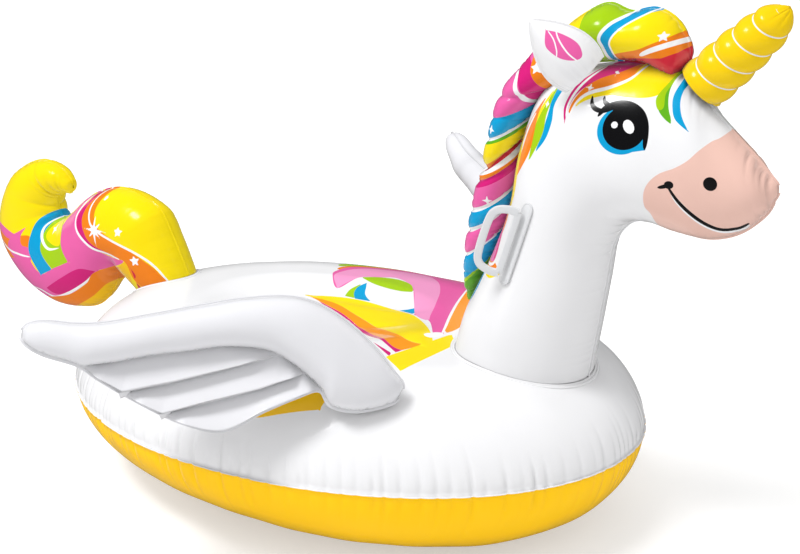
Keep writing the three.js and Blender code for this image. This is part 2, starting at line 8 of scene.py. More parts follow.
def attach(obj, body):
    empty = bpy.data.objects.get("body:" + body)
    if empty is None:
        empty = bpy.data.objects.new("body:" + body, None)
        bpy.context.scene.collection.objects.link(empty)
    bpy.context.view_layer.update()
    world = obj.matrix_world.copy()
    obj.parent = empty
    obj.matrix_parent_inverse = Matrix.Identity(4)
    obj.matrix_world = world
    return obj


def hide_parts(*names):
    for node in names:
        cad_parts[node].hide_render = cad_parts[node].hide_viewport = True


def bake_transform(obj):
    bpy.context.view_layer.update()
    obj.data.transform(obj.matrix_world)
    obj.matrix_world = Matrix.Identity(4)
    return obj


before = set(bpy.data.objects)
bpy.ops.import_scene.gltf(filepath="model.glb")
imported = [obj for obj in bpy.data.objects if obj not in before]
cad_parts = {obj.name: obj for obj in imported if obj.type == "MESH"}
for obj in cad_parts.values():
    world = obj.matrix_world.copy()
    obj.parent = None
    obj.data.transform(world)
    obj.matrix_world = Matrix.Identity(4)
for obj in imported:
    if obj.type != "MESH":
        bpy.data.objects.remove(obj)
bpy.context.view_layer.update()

# Looks of an inflatable unicorn pool float, in metres, nose towards +X. Every film of
# the float is one thin closed shell made from a grid of points, which stands for the
# CAD sheet of the same name. Seams have a flat weld lip and gather the film in creases.

MM = 0.001

# ---- Driving dimensions ---------------------------------------------------------------

# The body has the CAD part's own dimensions. The film and its seams are thinner than the
# CAD's sheets. The other outlines start from the CAD's and were adjusted for the looks.

FILM = 0.8 * MM
HALF_GAP = 1.0 * MM
LIP = 5.0 * MM
TUBE_LIP, HEAD_LIP, TUBE_LIP_NEAR = 3.0 * MM, 3.5 * MM, 0.15
WELD_ROOM = 0.2 * MM
TINY = 1e-9

FRONT_LENGTH, REAR_LENGTH, HALF_WIDTH = 0.694, 0.636, 0.494
SEAM_HEIGHT, RIM_HEIGHT, RIM_WIDTH = 0.195, 0.360, 0.237
KEEL_WIDTH, KEEL_RAKE = 0.310, 0.060
SEAT_X, SEAT_HALF_LENGTH, SEAT_HALF_WIDTH, SEAT_DEPTH = -0.040, 0.300, 0.215, 0.032

# Stations of a two-panel tube in mm: front seam x, z; back seam x, z; half-width across.
HEAD = (
    (598, 318, 324, 366, 139), (613, 430, 346, 440, 135), (624, 520, 395, 545, 126),
    (637, 605, 433, 655, 116), (668, 650, 452, 775, 112), (715, 656, 495, 880, 110),
    (765, 644, 600, 925, 104), (815, 639, 745, 924, 92), (866, 657, 806, 856, 76),
    (906, 694, 882, 786, 54), (922, 733, 921, 745, 0.4),
)
MANE = (
    (338, 440, 332, 439, 0.4), (356, 486, 331, 478, 26), (388, 553, 332, 545, 42),
    (419, 637, 346, 632, 50), (437, 720, 366, 715, 54), (448, 790, 388, 797, 62),
    (472, 846, 410, 868, 66), (512, 880, 448, 918, 60), (545, 898, 484, 958, 44),
    (566, 925, 530, 962, 0.4),
)
FORELOCK = (
    (499, 930, 496, 944, 0.4), (532, 925, 524, 985, 46), (575, 930, 566, 1016, 62),
    (612, 934, 604, 1031, 66), (645, 936, 645, 1019, 63), (684, 932, 688, 1026, 64),
    (710, 920, 726, 1008, 56), (730, 914, 752, 965, 40), (740, 924, 753, 938, 0.4),
)
TAIL = (
    (-434, 384, -582, 332, 70), (-474, 456, -640, 362, 80), (-522, 518, -652, 362, 84),
    (-625, 550, -660, 352, 84), (-725, 526, -672, 325, 84), (-795, 478, -695, 278, 84),
    (-838, 450, -765, 228, 82), (-852, 447, -880, 217, 80), (-860, 450, -990, 262, 78),
    (-864, 456, -1068, 348, 74), (-868, 466, -1076, 438, 68), (-872, 484, -1020, 540, 60),
    (-866, 502, -930, 586, 48), (-846, 514, -862, 582, 35), (-822, 516, -820, 552, 18),
    (-812, 528, -811, 534, 0.4),
)
# Wing outline in mm, in the wing's plane: leading edge s, t; trailing edge s, t; share
# of the width that the fat leading lobe takes; the lobe's half-thickness.
WING = (
    (-34, -26, -30, -8, 1.0, 0.5), (-30, -38, -20, 4, 1.0, 14), (-10, -54, 10, 20, 1.0, 30),
    (26, -84, 48, 32, 1.0, 42), (78, -116, 88, 30, 1.0, 50), (128, -137, 113, 8, 0.95, 53),
    (172, -145, 150, 28, 0.70, 54), (222, -140, 200, 63, 0.48, 52), (290, -119, 264, 112, 0.355, 50),
    (352, -94, 340, 112, 0.385, 48), (432, -60, 420, 92, 0.48, 45), (505, -30, 490, 69, 0.71, 41),
    (552, -18, 532, 52, 0.98, 36), (600, -12, 592, 46, 1.0, 30), (628, -2, 624, 36, 1.0, 19),
    (638, 12, 637, 24, 1.0, 0.5),
)
# Lower edges of the slats that fill the wing below the lobe, as s, t in mm.
SLATS = (
    ((450, 83), (372, 49), (292, 10), (200, -38), (120, -84)),
    ((374, 105), (297, 67), (216, 27), (143, -18), (90, -52)),
)
WING_ROOT = (0.346, -0.340, 0.346)
WING_HEADING, WING_RISE, WING_ROLL, WING_LEFT_RAISE = 216.5, 14.4, 73.0, 13.0

HORN_BASE, HORN_TILT, HORN_LENGTH = (0.777, 0.0, 0.899), 45.0, 0.192
HORN_RADIUS, HORN_TAPER, HORN_NOSE, HORN_BULGES, HORN_BULGE = 0.041, 0.45, 0.2, 5, 0.0065
EAR_FOOT, EAR_LENGTH, EAR_WIDTH = (0.600, -0.086, 0.916), 0.132, 0.104
EAR_LEAN, EAR_SPLAY, EAR_TURN, EAR_HALF = -46.0, 10.0, 14.0, 0.009

# ---- Colours --------------------------------------------------------------------------

WHITE = (0.90, 0.90, 0.915)
PURE_WHITE = (0.97, 0.97, 0.98)
BLACK = (0.004, 0.004, 0.005)
MILKY_WHITE = (0.86, 0.87, 0.89)
MILKY_CLEAR = (0.80, 0.85, 0.87)


def srgb(red, green, blue):
    """A display colour (0 to 255) as the linear colour that a shader takes."""
    shares = (c / 255 for c in (red, green, blue))
    return tuple(c / 12.92 if c <= 0.04045 else ((c + 0.055) / 1.055) ** 2.4 for c in shares)


SUN_YELLOW = srgb(255, 200, 0)
LEMON = srgb(255, 228, 0)
HORN_YELLOW = srgb(250, 210, 0)
ORANGE = srgb(246, 132, 18)
AMBER = srgb(255, 156, 20)
# The wings' white is greyer and cooler than the other films' white: painted shade, for the shade the
# wings lie in.
SHADED_WING_WHITE = srgb(234, 234, 238)
PINK = srgb(237, 98, 170)
LIGHT_PINK = srgb(245, 158, 205)
MAGENTA = srgb(214, 26, 122)
LIME = srgb(166, 208, 16)
GREEN = srgb(98, 178, 30)
BLUE = srgb(0, 160, 214)
LIGHT_BLUE = srgb(120, 205, 235)
RED = srgb(216, 38, 58)
MUZZLE = srgb(242, 200, 186)

# ---- Curves and grids -----------------------------------------------------------------


def spline(points, t):
    """Catmull-Rom curve through the points, at t from 0 to 1."""
    points = np.asarray(points, float)
    place = np.clip(np.asarray(t, float), 0, 1) * (len(points) - 1)
    first = np.minimum(place.astype(int), len(points) - 2)
    f = (place - first)[..., None]
    before, start, end, after = (
        points[np.clip(first + k, 0, len(points) - 1)] for k in (-1, 0, 1, 2)
    )
    leave, arrive = (end - before) / 2, (after - start) / 2
    return (
        (2 * f**3 - 3 * f**2 + 1) * start
        + (f**3 - 2 * f**2 + f) * leave
        + (3 * f**2 - 2 * f**3) * end
        + (f**3 - f**2) * arrive
    )


def smooth(x):
    x = np.clip(x, 0, 1)
    return x * x * (3 - 2 * x)


def lengths(points, axis=0):
    """Distance along a run of points, starting at 0."""
    step = np.linalg.norm(np.diff(points, axis=axis), axis=-1)
    return np.insert(np.cumsum(step, axis=axis), 0, 0, axis=axis)


def even_places(curve, count):
    """Values of t that split a curve, a function of t, into steps of equal length."""
    t = np.linspace(0, 1, 2000)
    along = lengths(curve(t))
    return np.interp(np.linspace(0, along[-1], count), along, t)


def grid_normals(grid, wrap=False):
    down = np.gradient(grid, axis=0)
    if wrap:
        over = (np.roll(grid, -1, 1) - np.roll(grid, 1, 1)) / 2
    else:
        over = np.gradient(grid, axis=1)
    normal = np.cross(down, over)
    size = np.linalg.norm(normal, axis=2, keepdims=True)
    return normal / np.maximum(size, 1e-12)


def facing(grid, outward, wrap=False):
    """Normals of a grid, turned to the side that outward points to."""
    normal = grid_normals(grid, wrap)
    return normal if (normal * outward).sum() > 0 else -normal


def creases(along, distance, pitch, reach, depth, strength=None, seed=0, width=0.22):
    """Depth of the creases that a seam gathers in its film. along is the place of each
    row on the seam, distance is how far each grid point is from the seam."""
    rng = np.random.default_rng(seed)
    pressed = np.zeros(distance.shape)
    place = along[0] + pitch * rng.random()
    while place < along[-1]:
        half = pitch * width * rng.uniform(0.6, 1.4)
        length = reach * rng.uniform(0.35, 1.3)
        amount = depth * rng.uniform(0.35, 1.25)
        rows = np.abs(along - place) < 3.5 * half
        if rows.any():
            across = np.exp(-np.abs((along[rows] - place) / half) ** 1.5)
            if strength is not None:
                across = across * strength[rows]
            away = distance[rows]
            fade = np.exp(-((away / length) ** 2)) * away / (away + 3 * MM)
            pressed[rows] += amount * across[:, None] * fade
        place += pitch * rng.uniform(0.55, 1.5)
    return pressed


def ripple(x, y, size, seed):
    """Soft uneven waves, about 1 high, with the given wavelength."""
    rng = np.random.default_rng(seed)
    total = np.zeros(np.broadcast(x, y).shape)
    for _ in range(6):
        angle, phase = rng.uniform(0, 2 * math.pi, 2)
        scale = 2 * math.pi / (size * rng.uniform(0.7, 1.6))
        total += np.sin(scale * (x * math.cos(angle) + y * math.sin(angle)) + phase)
    return total / 6


# ---- Film pieces ------------------------------------------------------------------------


def piece(name, points, faces, body, material, replaced):
    """One visible piece. body is the body it rides on; given as a tuple (body, body, start, end),
    whose items are not used, it leaves the piece on no body, with its place baked into its points.
    replaced names the CAD node that it stands for."""
    points, faces = without_loose(points, faces)
    mesh = bpy.data.meshes.new(name)
    mesh.from_pydata(points.tolist(), [], faces)
    mesh.validate()
    mesh.materials.append(material)
    mesh.polygons.foreach_set("use_smooth", [True] * len(mesh.polygons))
    made = bpy.data.objects.new(name, mesh)
    bpy.context.scene.collection.objects.link(made)
    if isinstance(body, str):
        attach(made, body)
    else:
        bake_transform(made)
    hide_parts(replaced)
    return made


def placed(points, faces, turn, origin):
    """Points and faces moved into the float's frame. A mirroring turn flips the faces."""
    if np.linalg.det(turn) < 0:
        faces = [face[::-1] for face in faces]
    return points @ turn.T + origin, faces


def joined(points, faces, more_points, more_faces):
    faces = faces + [[i + len(points) for i in face] for face in more_faces]
    return np.concatenate([points, more_points]), faces


def quads_of(index):
    """Quads between the neighbours in a grid of point numbers."""
    quads = np.stack([index[:-1, :-1], index[1:, :-1], index[1:, 1:], index[:-1, 1:]], -1)
    return quads.reshape(-1, 4)


def unmatched(faces, count):
    """Directed edges of quads that no other quad shares."""
    start, end = faces.ravel(), np.roll(faces, -1, 1).ravel()
    alone = ~np.isin(start * count + end, end * count + start)
    return np.stack([start[alone], end[alone]], -1)


def shell(grid, outward, wrap=False, capped=False, wall=FILM, settle=None, hole=None):
    """Points and faces of a closed thin shell on a grid of rows and columns. wrap joins
    the last column to the first; capped closes the last row; hole marks open points."""
    rows, cols = grid.shape[:2]
    normal = grid_normals(grid, wrap)
    turned = (normal * outward).sum() < 0
    inner = grid + normal * (wall if turned else -wall)
    if settle:
        inner = settle(inner)
    count = rows * cols
    points = np.concatenate([grid.reshape(-1, 3), inner.reshape(-1, 3)])
    index = np.arange(count).reshape(rows, cols)
    if wrap:
        index = np.hstack([index, index[:, :1]])
    faces = quads_of(index)
    if hole is not None:
        faces = faces[~hole.ravel()[faces].any(1)]
    edges = unmatched(faces, count)
    if capped:
        edges = edges[~(edges >= count - cols).all(1)]
    rim = np.stack([edges[:, 1], edges[:, 0], edges[:, 0] + count, edges[:, 1] + count], -1)
    faces = np.concatenate([faces, faces[:, ::-1] + count, rim])
    if turned:
        faces = faces[:, ::-1]
    faces = faces.tolist()
    if capped:
        last = index[-1, :cols].tolist()
        caps = [last[::-1], [i + count for i in last]]
        faces += [cap[::-1] for cap in caps] if turned else caps
    return points, faces


def beyond_weld(axis, side, level=0.0):
    """Keeps the inner layer of a film on its own side of the weld, which is at level."""

    def settle(inner):
        inner[..., axis] = side * np.maximum(side * inner[..., axis], side * level + WELD_ROOM)
        return inner

    return settle


def weld_lips(grid, width, square, near, level=None):
    """Adds the flat weld lip outside the first and the last column of a panel. square is
    the axis square to the weld, and near is the share of the width that the row next to
    the seam takes."""
    first, second = (axis for axis in range(3) if axis != square)
    middle = grid.mean(1)
    columns = []
    for edge in (0, -1):
        seam = grid[:, edge].copy()
        if level is not None:
            seam[:, square] = level
        run = np.gradient(seam, axis=0)
        out = np.zeros_like(seam)
        out[:, first], out[:, second] = run[:, second], -run[:, first]
        out /= np.maximum(np.linalg.norm(out, axis=1, keepdims=True), TINY)
        out *= np.sign(((seam - middle) * out).sum(1, keepdims=True)) + TINY
        columns.append([seam + out * width * share for share in (1.0, 0.5, near)])
    front, back = np.stack(columns[0], 1), np.stack(columns[1][::-1], 1)
    return np.concatenate([front, grid, back], 1)


def without_loose(points, faces):
    """The same mesh without the points that no face uses."""
    used = np.zeros(len(points), bool)
    used[np.fromiter((i for face in faces for i in face), int)] = True
    place = np.cumsum(used) - 1
    return points[used], [[int(place[i]) for i in face] for face in faces]


def set_attribute(made, name, values):
    """Stores one number per point. Values of a grid serve its outer and inner layer."""
    count = len(made.data.vertices)
    values = np.ravel(values)
    if len(values) < count:
        values = np.concatenate([values, values, np.full(2, values[-1])])[:count]
    attribute = made.data.attributes.new(name, "FLOAT", "POINT")
    attribute.data.foreach_set("value", values.astype(np.float32))


# ---- Printed shapes: distances stored on the mesh, cut sharp by the shader ---------------

FAR = 0.05


def curved(points, closed, steps=8):
    """Points of a smooth curve. A point given twice in a row is a corner."""
    points = np.asarray(points, float) * MM
    if closed:
        points = np.concatenate([points[-1:], points, points[:2]])
        count = len(points) - 3
        t = (1 + np.arange(count * steps) / steps) / (len(points) - 1)
        return spline(points, t)
    return spline(points, np.linspace(0, 1, (len(points) - 1) * steps + 1))


def inside(place, outline):
    """Signed distance of 2-D places to a closed outline, positive inside."""
    low, high = outline.min(0) - FAR, outline.max(0) + FAR
    near = np.all((place > low) & (place < high), axis=1)
    result = np.full(len(place), -FAR)
    p = place[near][:, None, :]
    a, b = outline, np.roll(outline, -1, 0)
    edge = b - a
    size = np.maximum((edge**2).sum(1), 1e-18)
    share = np.clip(((p - a) * edge).sum(2) / size, 0, 1)
    gap = np.sqrt((((p - a) - share[..., None] * edge) ** 2).sum(2)).min(1)
    crosses = (a[:, 1] > p[..., 1]) != (b[:, 1] > p[..., 1])
    rise = np.where(edge[:, 1] == 0, 1e-18, edge[:, 1])
    left = p[..., 0] < a[:, 0] + (p[..., 1] - a[:, 1]) * edge[:, 0] / rise
    within = (crosses & left).sum(1) % 2 == 1
    result[near] = np.where(within, gap, -gap)
    return result


def beside(place, line, width, taper):
    """Signed offset of 2-D places from a line, and the line's half-width there."""
    low, high = line.min(0) - FAR, line.max(0) + FAR
    near = np.all((place > low) & (place < high), axis=1)
    offset, half = np.full(len(place), FAR), np.full(len(place), -FAR)
    p = place[near][:, None, :]
    a, b = line[:-1], line[1:]
    edge = b - a
    size = np.maximum(np.linalg.norm(edge, axis=1), 1e-9)
    share = ((p - a) * edge).sum(2) / size**2
    gap = np.linalg.norm((p - a) - np.clip(share, 0, 1)[..., None] * edge, axis=2)
    best = gap.argmin(1)
    rows = np.arange(len(best))
    side = (p[..., 0] - a[:, 0]) * edge[:, 1] - (p[..., 1] - a[:, 1]) * edge[:, 0]
    reach = share[rows, best]
    past = np.where(best == 0, np.maximum(0, -reach), 0)
    past += np.where(best == len(a) - 1, np.maximum(0, reach - 1), 0)
    total = (best + np.clip(reach, 0, 1)) / len(a)
    thick = width / 2 * (np.sin(np.pi * np.clip(total, 0.02, 0.98)) ** taper)
    offset[near] = side[rows, best] / size[best]
    half[near] = thick - past * size[best]
    return offset, half


def star(x, z, radius, points=5, dent=0.42, turn=90.0, long=1.0):
    """Corner points of a star in mm; long makes every second point longer."""
    corners = []
    for i in range(2 * points):
        angle = math.radians(turn + 180 * i / points)
        reach = radius * (dent if i % 2 else (long if i % 4 == 0 else 1))
        corners.append((x + reach * math.cos(angle), z + reach * math.sin(angle)))
    return corners


def oval(x, z, half_length, half_width, turn=0.0, count=24):
    angle = np.linspace(0, 2 * math.pi, count, endpoint=False)
    c, s = math.cos(math.radians(turn)), math.sin(math.radians(turn))
    across, up = half_length * np.cos(angle), half_width * np.sin(angle)
    return list(zip(x + across * c - up * s, z + across * s + up * c))


# A layer is (kind, colour, points, ...): "fill" has a smooth outline, "cut" a straight-
# sided one, and "line" a line with its width in mm and how much its ends taper.


def fill(colour, *points):
    return ("fill", colour, points)


def cut(colour, *points):
    return ("cut", colour, points)


def line(colour, width, taper, *points):
    return ("line", colour, points, width, taper)


def white_star(*settings):
    return cut(PURE_WHITE, *star(*settings))


def print_on(made, layers, axes, points=None):
    """Stores the distance to each printed layer, seen square to the two given axes.
    points, if given, are the places of the vertices in the piece's own plane."""
    if points is None:
        points = np.empty(len(made.data.vertices) * 3, np.float32)
        made.data.vertices.foreach_get("co", points)
    place = points.reshape(-1, 3)[:, axes].astype(float)
    for number, layer in enumerate(layers):
        if layer[0] == "line":
            path = curved(layer[2], closed=False)
            offset, half = beside(place, path, layer[3] * MM, layer[4])
            set_attribute(made, f"offset_{number}", offset)
            set_attribute(made, f"half_{number}", half)
        else:
            outline = curved(layer[2], True) if layer[0] == "fill" else np.array(layer[2]) * MM
            set_attribute(made, f"inside_{number}", inside(place, outline))


# ---- Materials ---------------------------------------------------------------------------


class Nodes:
    """Short names for building a material's node tree."""

    def __init__(self, name):
        self.material = bpy.data.materials.new(name)
        self.material.use_nodes = True
        self.tree = self.material.node_tree
        self.shader = self.tree.nodes["Principled BSDF"]

    def add(self, kind, **settings):
        node = self.tree.nodes.new(kind)
        for key, value in settings.items():
            setattr(node, key, value)
        return node

    def link(self, source, target):
        self.tree.links.new(source, target)

    def put(self, value, socket):
        if isinstance(value, bpy.types.NodeSocket):
            self.link(value, socket)
        elif isinstance(value, tuple):
            socket.default_value = (*value, 1.0)[: len(socket.default_value)]
        else:
            socket.default_value = value

    def math(self, operation, *values, clamp=False):
        node = self.add("ShaderNodeMath", operation=operation, use_clamp=clamp)
        for value, socket in zip(values, node.inputs):
            self.put(value, socket)
        return node.outputs[0]

    def mix(self, factor, first, second):
        node = self.add("ShaderNodeMix", data_type="RGBA")
        self.put(factor, node.inputs["Factor"])
        self.put(first, node.inputs[6])
        self.put(second, node.inputs[7])
        return node.outputs[2]

    def attribute(self, name):
        return self.add("ShaderNodeAttribute", attribute_name=name).outputs["Fac"]

    def noise(self, scale, detail=3.0, rough=0.5):
        node = self.add("ShaderNodeTexNoise")
        place = self.add("ShaderNodeTexCoord").outputs["Object"]
        self.link(place, node.inputs["Vector"])
        node.inputs["Scale"].default_value = scale
        node.inputs["Detail"].default_value = detail
        node.inputs["Roughness"].default_value = rough
        return node.outputs["Fac"]


EDGE = 0.5 * MM


def printed(nodes, base, layers):
    """Colour of a film with the layers printed on it, in order."""
    colour = base
    for number, layer in enumerate(layers):
        if layer[0] == "line":
            offset = nodes.math("ABSOLUTE", nodes.attribute(f"offset_{number}"))
            depth = nodes.math("SUBTRACT", nodes.attribute(f"half_{number}"), offset)
        else:
            depth = nodes.attribute(f"inside_{number}")
        share = nodes.math("MULTIPLY_ADD", depth, 1 / EDGE, 0.5, clamp=True)
        colour = nodes.mix(share, colour, layer[1])
    return colour


def banded(nodes, name, bands):
    """Colour bands along a stored coordinate: (end, colour) pairs."""
    ramp = nodes.add("ShaderNodeValToRGB")
    nodes.link(nodes.attribute(name), ramp.inputs["Fac"])
    ramp.color_ramp.interpolation = "CONSTANT"
    stops = ramp.color_ramp.elements
    start = 0.0
    for number, (end, colour) in enumerate(bands):
        stop = stops[number] if number < 2 else stops.new(start)
        stop.position = start
        stop.color = (*colour, 1.0)
        start = end
    return ramp.outputs["Color"]


# Bounce and gloss rays see the films as pale grey, painted bounce light and painted reflections, so
# little colour bounces from part to part.
NEUTRAL_BOUNCE = 0.75
PALE_GREY = (0.72, 0.72, 0.72)
MOTTLE = 0.06  # how far the colour wanders
SMEAR = 0.10  # how far the roughness wanders
COAT_ROUGHNESS = 0.08
VINYL_IOR = 1.42
SKIN_DEPTH = 1.2 * MM
BROAD_SHARE = 2.2  # strength of the broad unevenness beside the fine skin


def vinyl(name, colour_of, roughness=0.20, coat=0.25, bump=0.04, sheer=0.0, glow=0.0):
    """Glossy vinyl film: slight mottling, uneven sheen and a fine skin. colour_of(nodes)
    gives the printed colour, sheer the light let through, and the last setting the strength
    of a painted glow: the film emits its own colour, painted light that stands in for the
    light that comes through the film from the other side."""
    nodes = Nodes(name)
    shader = nodes.shader
    colour = colour_of(nodes)
    shade = nodes.math("MULTIPLY_ADD", nodes.noise(7.0, 4.0), MOTTLE, 1 - MOTTLE / 2)
    mottled = nodes.add("ShaderNodeMix", data_type="RGBA", blend_type="MULTIPLY")
    mottled.inputs["Factor"].default_value = 1.0
    nodes.put(colour, mottled.inputs[6])
    nodes.link(shade, mottled.inputs[7])
    # Painted bounce light and reflections: bounce and gloss rays see the film pale grey.
    path = nodes.add("ShaderNodeLightPath").outputs
    bounced = nodes.math("ADD", path["Is Diffuse Ray"], path["Is Glossy Ray"], clamp=True)
    neutral = nodes.math("MULTIPLY", bounced, NEUTRAL_BOUNCE)
    seen = nodes.mix(neutral, mottled.outputs[2], PALE_GREY)
    nodes.link(seen, shader.inputs["Base Color"])
    rough = nodes.math("MULTIPLY_ADD", nodes.noise(14.0, 1.5), SMEAR, roughness - SMEAR / 2)
    nodes.link(rough, shader.inputs["Roughness"])
    shader.inputs["Coat Weight"].default_value = coat
    shader.inputs["Coat Roughness"].default_value = COAT_ROUGHNESS
    shader.inputs["IOR"].default_value = VINYL_IOR
    if sheer:
        shader.inputs["Transmission Weight"].default_value = sheer
    # Painted glow: the film emits its own colour, which is painted light.
    if glow:
        nodes.link(seen, shader.inputs["Emission Color"])
        shader.inputs["Emission Strength"].default_value = glow
    skin = nodes.add("ShaderNodeBump")
    skin.inputs["Strength"].default_value = bump
    skin.inputs["Distance"].default_value = SKIN_DEPTH
    fine, broad = nodes.noise(160.0, 3.0), nodes.noise(18.0, 2.0)
    nodes.link(nodes.math("MULTIPLY_ADD", broad, BROAD_SHARE, fine), skin.inputs["Height"])
    nodes.link(skin.outputs["Normal"], shader.inputs["Normal"])
    return nodes.material


def plain_vinyl(name, colour, **settings):
    return vinyl(name, lambda nodes: colour, **settings)


# ---- Where valves go through a film -----------------------------------------------------------


def node_points(name):
    return np.array([v.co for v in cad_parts[name].data.vertices], float)


def valve_axis(valve):
    """Base point and direction of a valve; the base lies on the flange's underside."""
    stem, plug = ("seat", "cap") if valve == "main_valve" else ("stem", "plug")
    start, end = (node_points(f"{valve}_{part}").mean(0) for part in (stem, plug))
    axis = (end - start) / np.linalg.norm(end - start)
    flange = node_points(f"{valve}_{'seat' if valve == 'main_valve' else 'flange'}")
    reach = (flange - start) @ axis
    wide = np.linalg.norm(flange - start - reach[:, None] * axis, axis=1)
    return start + axis * reach[wide > 0.97 * wide.max()].min(), axis


VALVE_SEARCH = 60 * MM  # film farther than this from the flange stays where it is
UNDER_FLANGE = 0.5 * MM


def seat_valve(grid, valve, spread, opening, matrix=None, origin=None):
    """Moves the film round a valve up to its flange. Also gives the points to open."""
    base, axis = valve_axis(valve)
    if matrix is not None:
        base, axis = matrix.T @ (base - origin), matrix.T @ axis
    offset = grid - base
    height = offset @ axis
    away = np.linalg.norm(offset - height[..., None] * axis, axis=2)
    close = np.abs(height) < VALVE_SEARCH
    weight = np.where(close, np.exp(-((away / spread) ** 4)), 0)
    grid = grid - ((height + UNDER_FLANGE) * weight)[..., None] * axis
    return grid, (away < opening) & close


# ---- Body ---------------------------------------------------------------------------------


def outline_radius(angle):
    """The plan is two half ellipses that meet at the widest place."""
    length = np.where(np.cos(angle) > 0, FRONT_LENGTH, REAR_LENGTH)
    return 1 / np.hypot(np.cos(angle) / length, np.sin(angle) / HALF_WIDTH)


def seat_dip(x, y):
    reach = np.hypot((x - SEAT_X) / SEAT_HALF_LENGTH, y / SEAT_HALF_WIDTH)
    level = np.clip(1 - reach * reach, 0, 1)
    return SEAT_DEPTH * level * level * (3 - 2 * level)


def top_height(x, y):
    inset = np.maximum(0, outline_radius(np.arctan2(y, x)) - np.hypot(x, y))
    slope = np.maximum(0, 1 - inset / RIM_WIDTH)
    return SEAM_HEIGHT + (RIM_HEIGHT - SEAM_HEIGHT) * np.sqrt(1 - slope**2) - seat_dip(x, y)


def on_top(x, y, lift):
    """Height of a point that stands off the top sheet, measured square to it."""
    step = 1 * MM
    height = top_height(x, y)
    slope_x = (top_height(x + step, y) - height) / step
    slope_y = (top_height(x, y + step) - height) / step
    return height + lift * np.sqrt(1 + slope_x**2 + slope_y**2)


BODY_COLUMNS = 1080
RIM_CROWDING = 0.9  # below 1 the rim's rows crowd away from the seam
INNERMOST = 6 * MM  # radius of the last row, which a cap closes


def body_grid(side, width, rim_rows, deck_rows):
    """Grid of the top (side 1) or bottom (-1) sheet, from the seam in to the middle, and
    the angle of each column."""
    angle = np.linspace(0, 2 * np.pi, BODY_COLUMNS, endpoint=False)[None, :]
    radius = outline_radius(angle)
    turn = np.linspace(0, 1, rim_rows)[:, None] ** RIM_CROWDING * np.pi / 2
    rim_inset = width * (1 - np.cos(turn))
    deck = np.linspace(0, 1, deck_rows + 1)[1:, None]
    deck_inset = width + (radius - INNERMOST - width) * deck
    inset = np.concatenate([np.broadcast_to(rim_inset, (rim_rows, BODY_COLUMNS)), deck_inset])
    rise = np.concatenate([np.sin(turn), np.ones((deck_rows, 1))]) * np.ones_like(inset)
    x = (radius - inset) * np.cos(angle)
    y = (radius - inset) * np.sin(angle)
    if side > 0:
        z = SEAM_HEIGHT + HALF_GAP + (RIM_HEIGHT - SEAM_HEIGHT) * rise - seat_dip(x, y)
    else:
        z = (SEAM_HEIGHT - HALF_GAP) * (1 - rise)
    return np.stack([x, y, z], -1), angle[0]


LIP_NOTCH = 0.45  # how far a crease draws the lip in


def body_lip(seam, angle, side, notch):
    """Rows of the flat weld lip, to go before the seam row. It is drawn in at creases."""
    rows = []
    for share in (1.0, 0.5, 0.12):
        out = LIP * share * (1 - LIP_NOTCH * notch)
        row = seam.copy()
        row[:, 0] += out * np.cos(angle)
        row[:, 1] += out * np.sin(angle)
        row[:, 2] = SEAM_HEIGHT + side * HALF_GAP
        rows.append(row)
    return np.stack(rows)


# Pitch, reach and depth of the long creases that both sheets share at the body's seam,
# and of the short ones between them.
LONG_CREASES = (27 * MM, 52 * MM, 5.5 * MM)
SHORT_CREASES = (21 * MM, 24 * MM, 1.5 * MM)
SEAM_SEED = 7
SEAM_PULL, SEAM_PULL_REACH = 2.2 * MM, 12 * MM
SEAM_SWELL, SEAM_SWELL_REACH, SEAM_ROOM = 2.2 * MM, 40 * MM, 3 * MM
RIM_WAVE, RIM_WAVE_LENGTH = 1.5 * MM, 0.16
RIM_WAVE_PLACE, RIM_WAVE_SPREAD = 0.2, 0.02
KEEL_SOFTENING = 0.03


def body_sheet(side, width, rim_rows, deck_rows, seed):
    """Grid of a body sheet with its weld lip, creases and slow waves."""
    grid, angle = body_grid(side, width, rim_rows, deck_rows)
    up = np.array([0, 0, side])
    normal = facing(grid, up, wrap=True)
    along = lengths(np.concatenate([grid[0], grid[:1, 0]]))[:-1]
    distance = lengths(grid, axis=0).T
    depth = creases(along, distance, *LONG_CREASES, seed=SEAM_SEED, width=0.16)
    notch = np.clip(depth[:, 5] / depth[:, 5].max(), 0, 1)
    depth += creases(along, distance, *SHORT_CREASES, seed=seed + 1)
    puff = np.exp(-((distance / SEAM_SWELL_REACH) ** 2)) * distance / (distance + SEAM_ROOM)
    shift = (SEAM_SWELL * puff - depth).T
    x, y = grid[..., 0], grid[..., 1]
    rim_only = np.exp(-((distance.T - RIM_WAVE_PLACE) ** 2) / RIM_WAVE_SPREAD)
    shift += RIM_WAVE * rim_only * ripple(x, y, RIM_WAVE_LENGTH, seed + 2)
    if side > 0:
        shift += bolsters(x, y)
    else:
        shift *= smooth(grid[..., 2] / KEEL_SOFTENING)
    grid = grid + normal * shift[..., None]
    pull = SEAM_PULL * notch * np.exp(-((distance / SEAM_PULL_REACH) ** 2)).T
    grid[..., 0] -= pull * np.cos(angle)
    grid[..., 1] -= pull * np.sin(angle)
    return np.concatenate([body_lip(grid[0], angle, side, notch), grid]), up


def bolsters(x, y):
    """The padded roll beside the seat, and the shallow valleys over the seat's webs."""
    place = np.stack([x, y], -1).reshape(-1, 2)
    path = curved([(-150, 88), (-40, 92), (90, 52), (200, -26), (290, -100)], closed=False)
    offset, half = beside(place, path, 120 * MM, 0.8)
    raised = np.clip(1 - (offset / np.maximum(half, 1e-6)) ** 2, 0, 1) * (half > 0)
    fullness = np.clip(half / (50 * MM), 0, 1)
    roll = 6 * MM * (raised * fullness).reshape(x.shape)
    ends = smooth((0.24 - np.abs(x - SEAT_X)) / 0.08)
    valleys = sum(np.exp(-(((y - row) / 0.016) ** 2)) for row in (-0.105, 0.0, 0.105))
    return roll - 2.5 * MM * valleys * ends


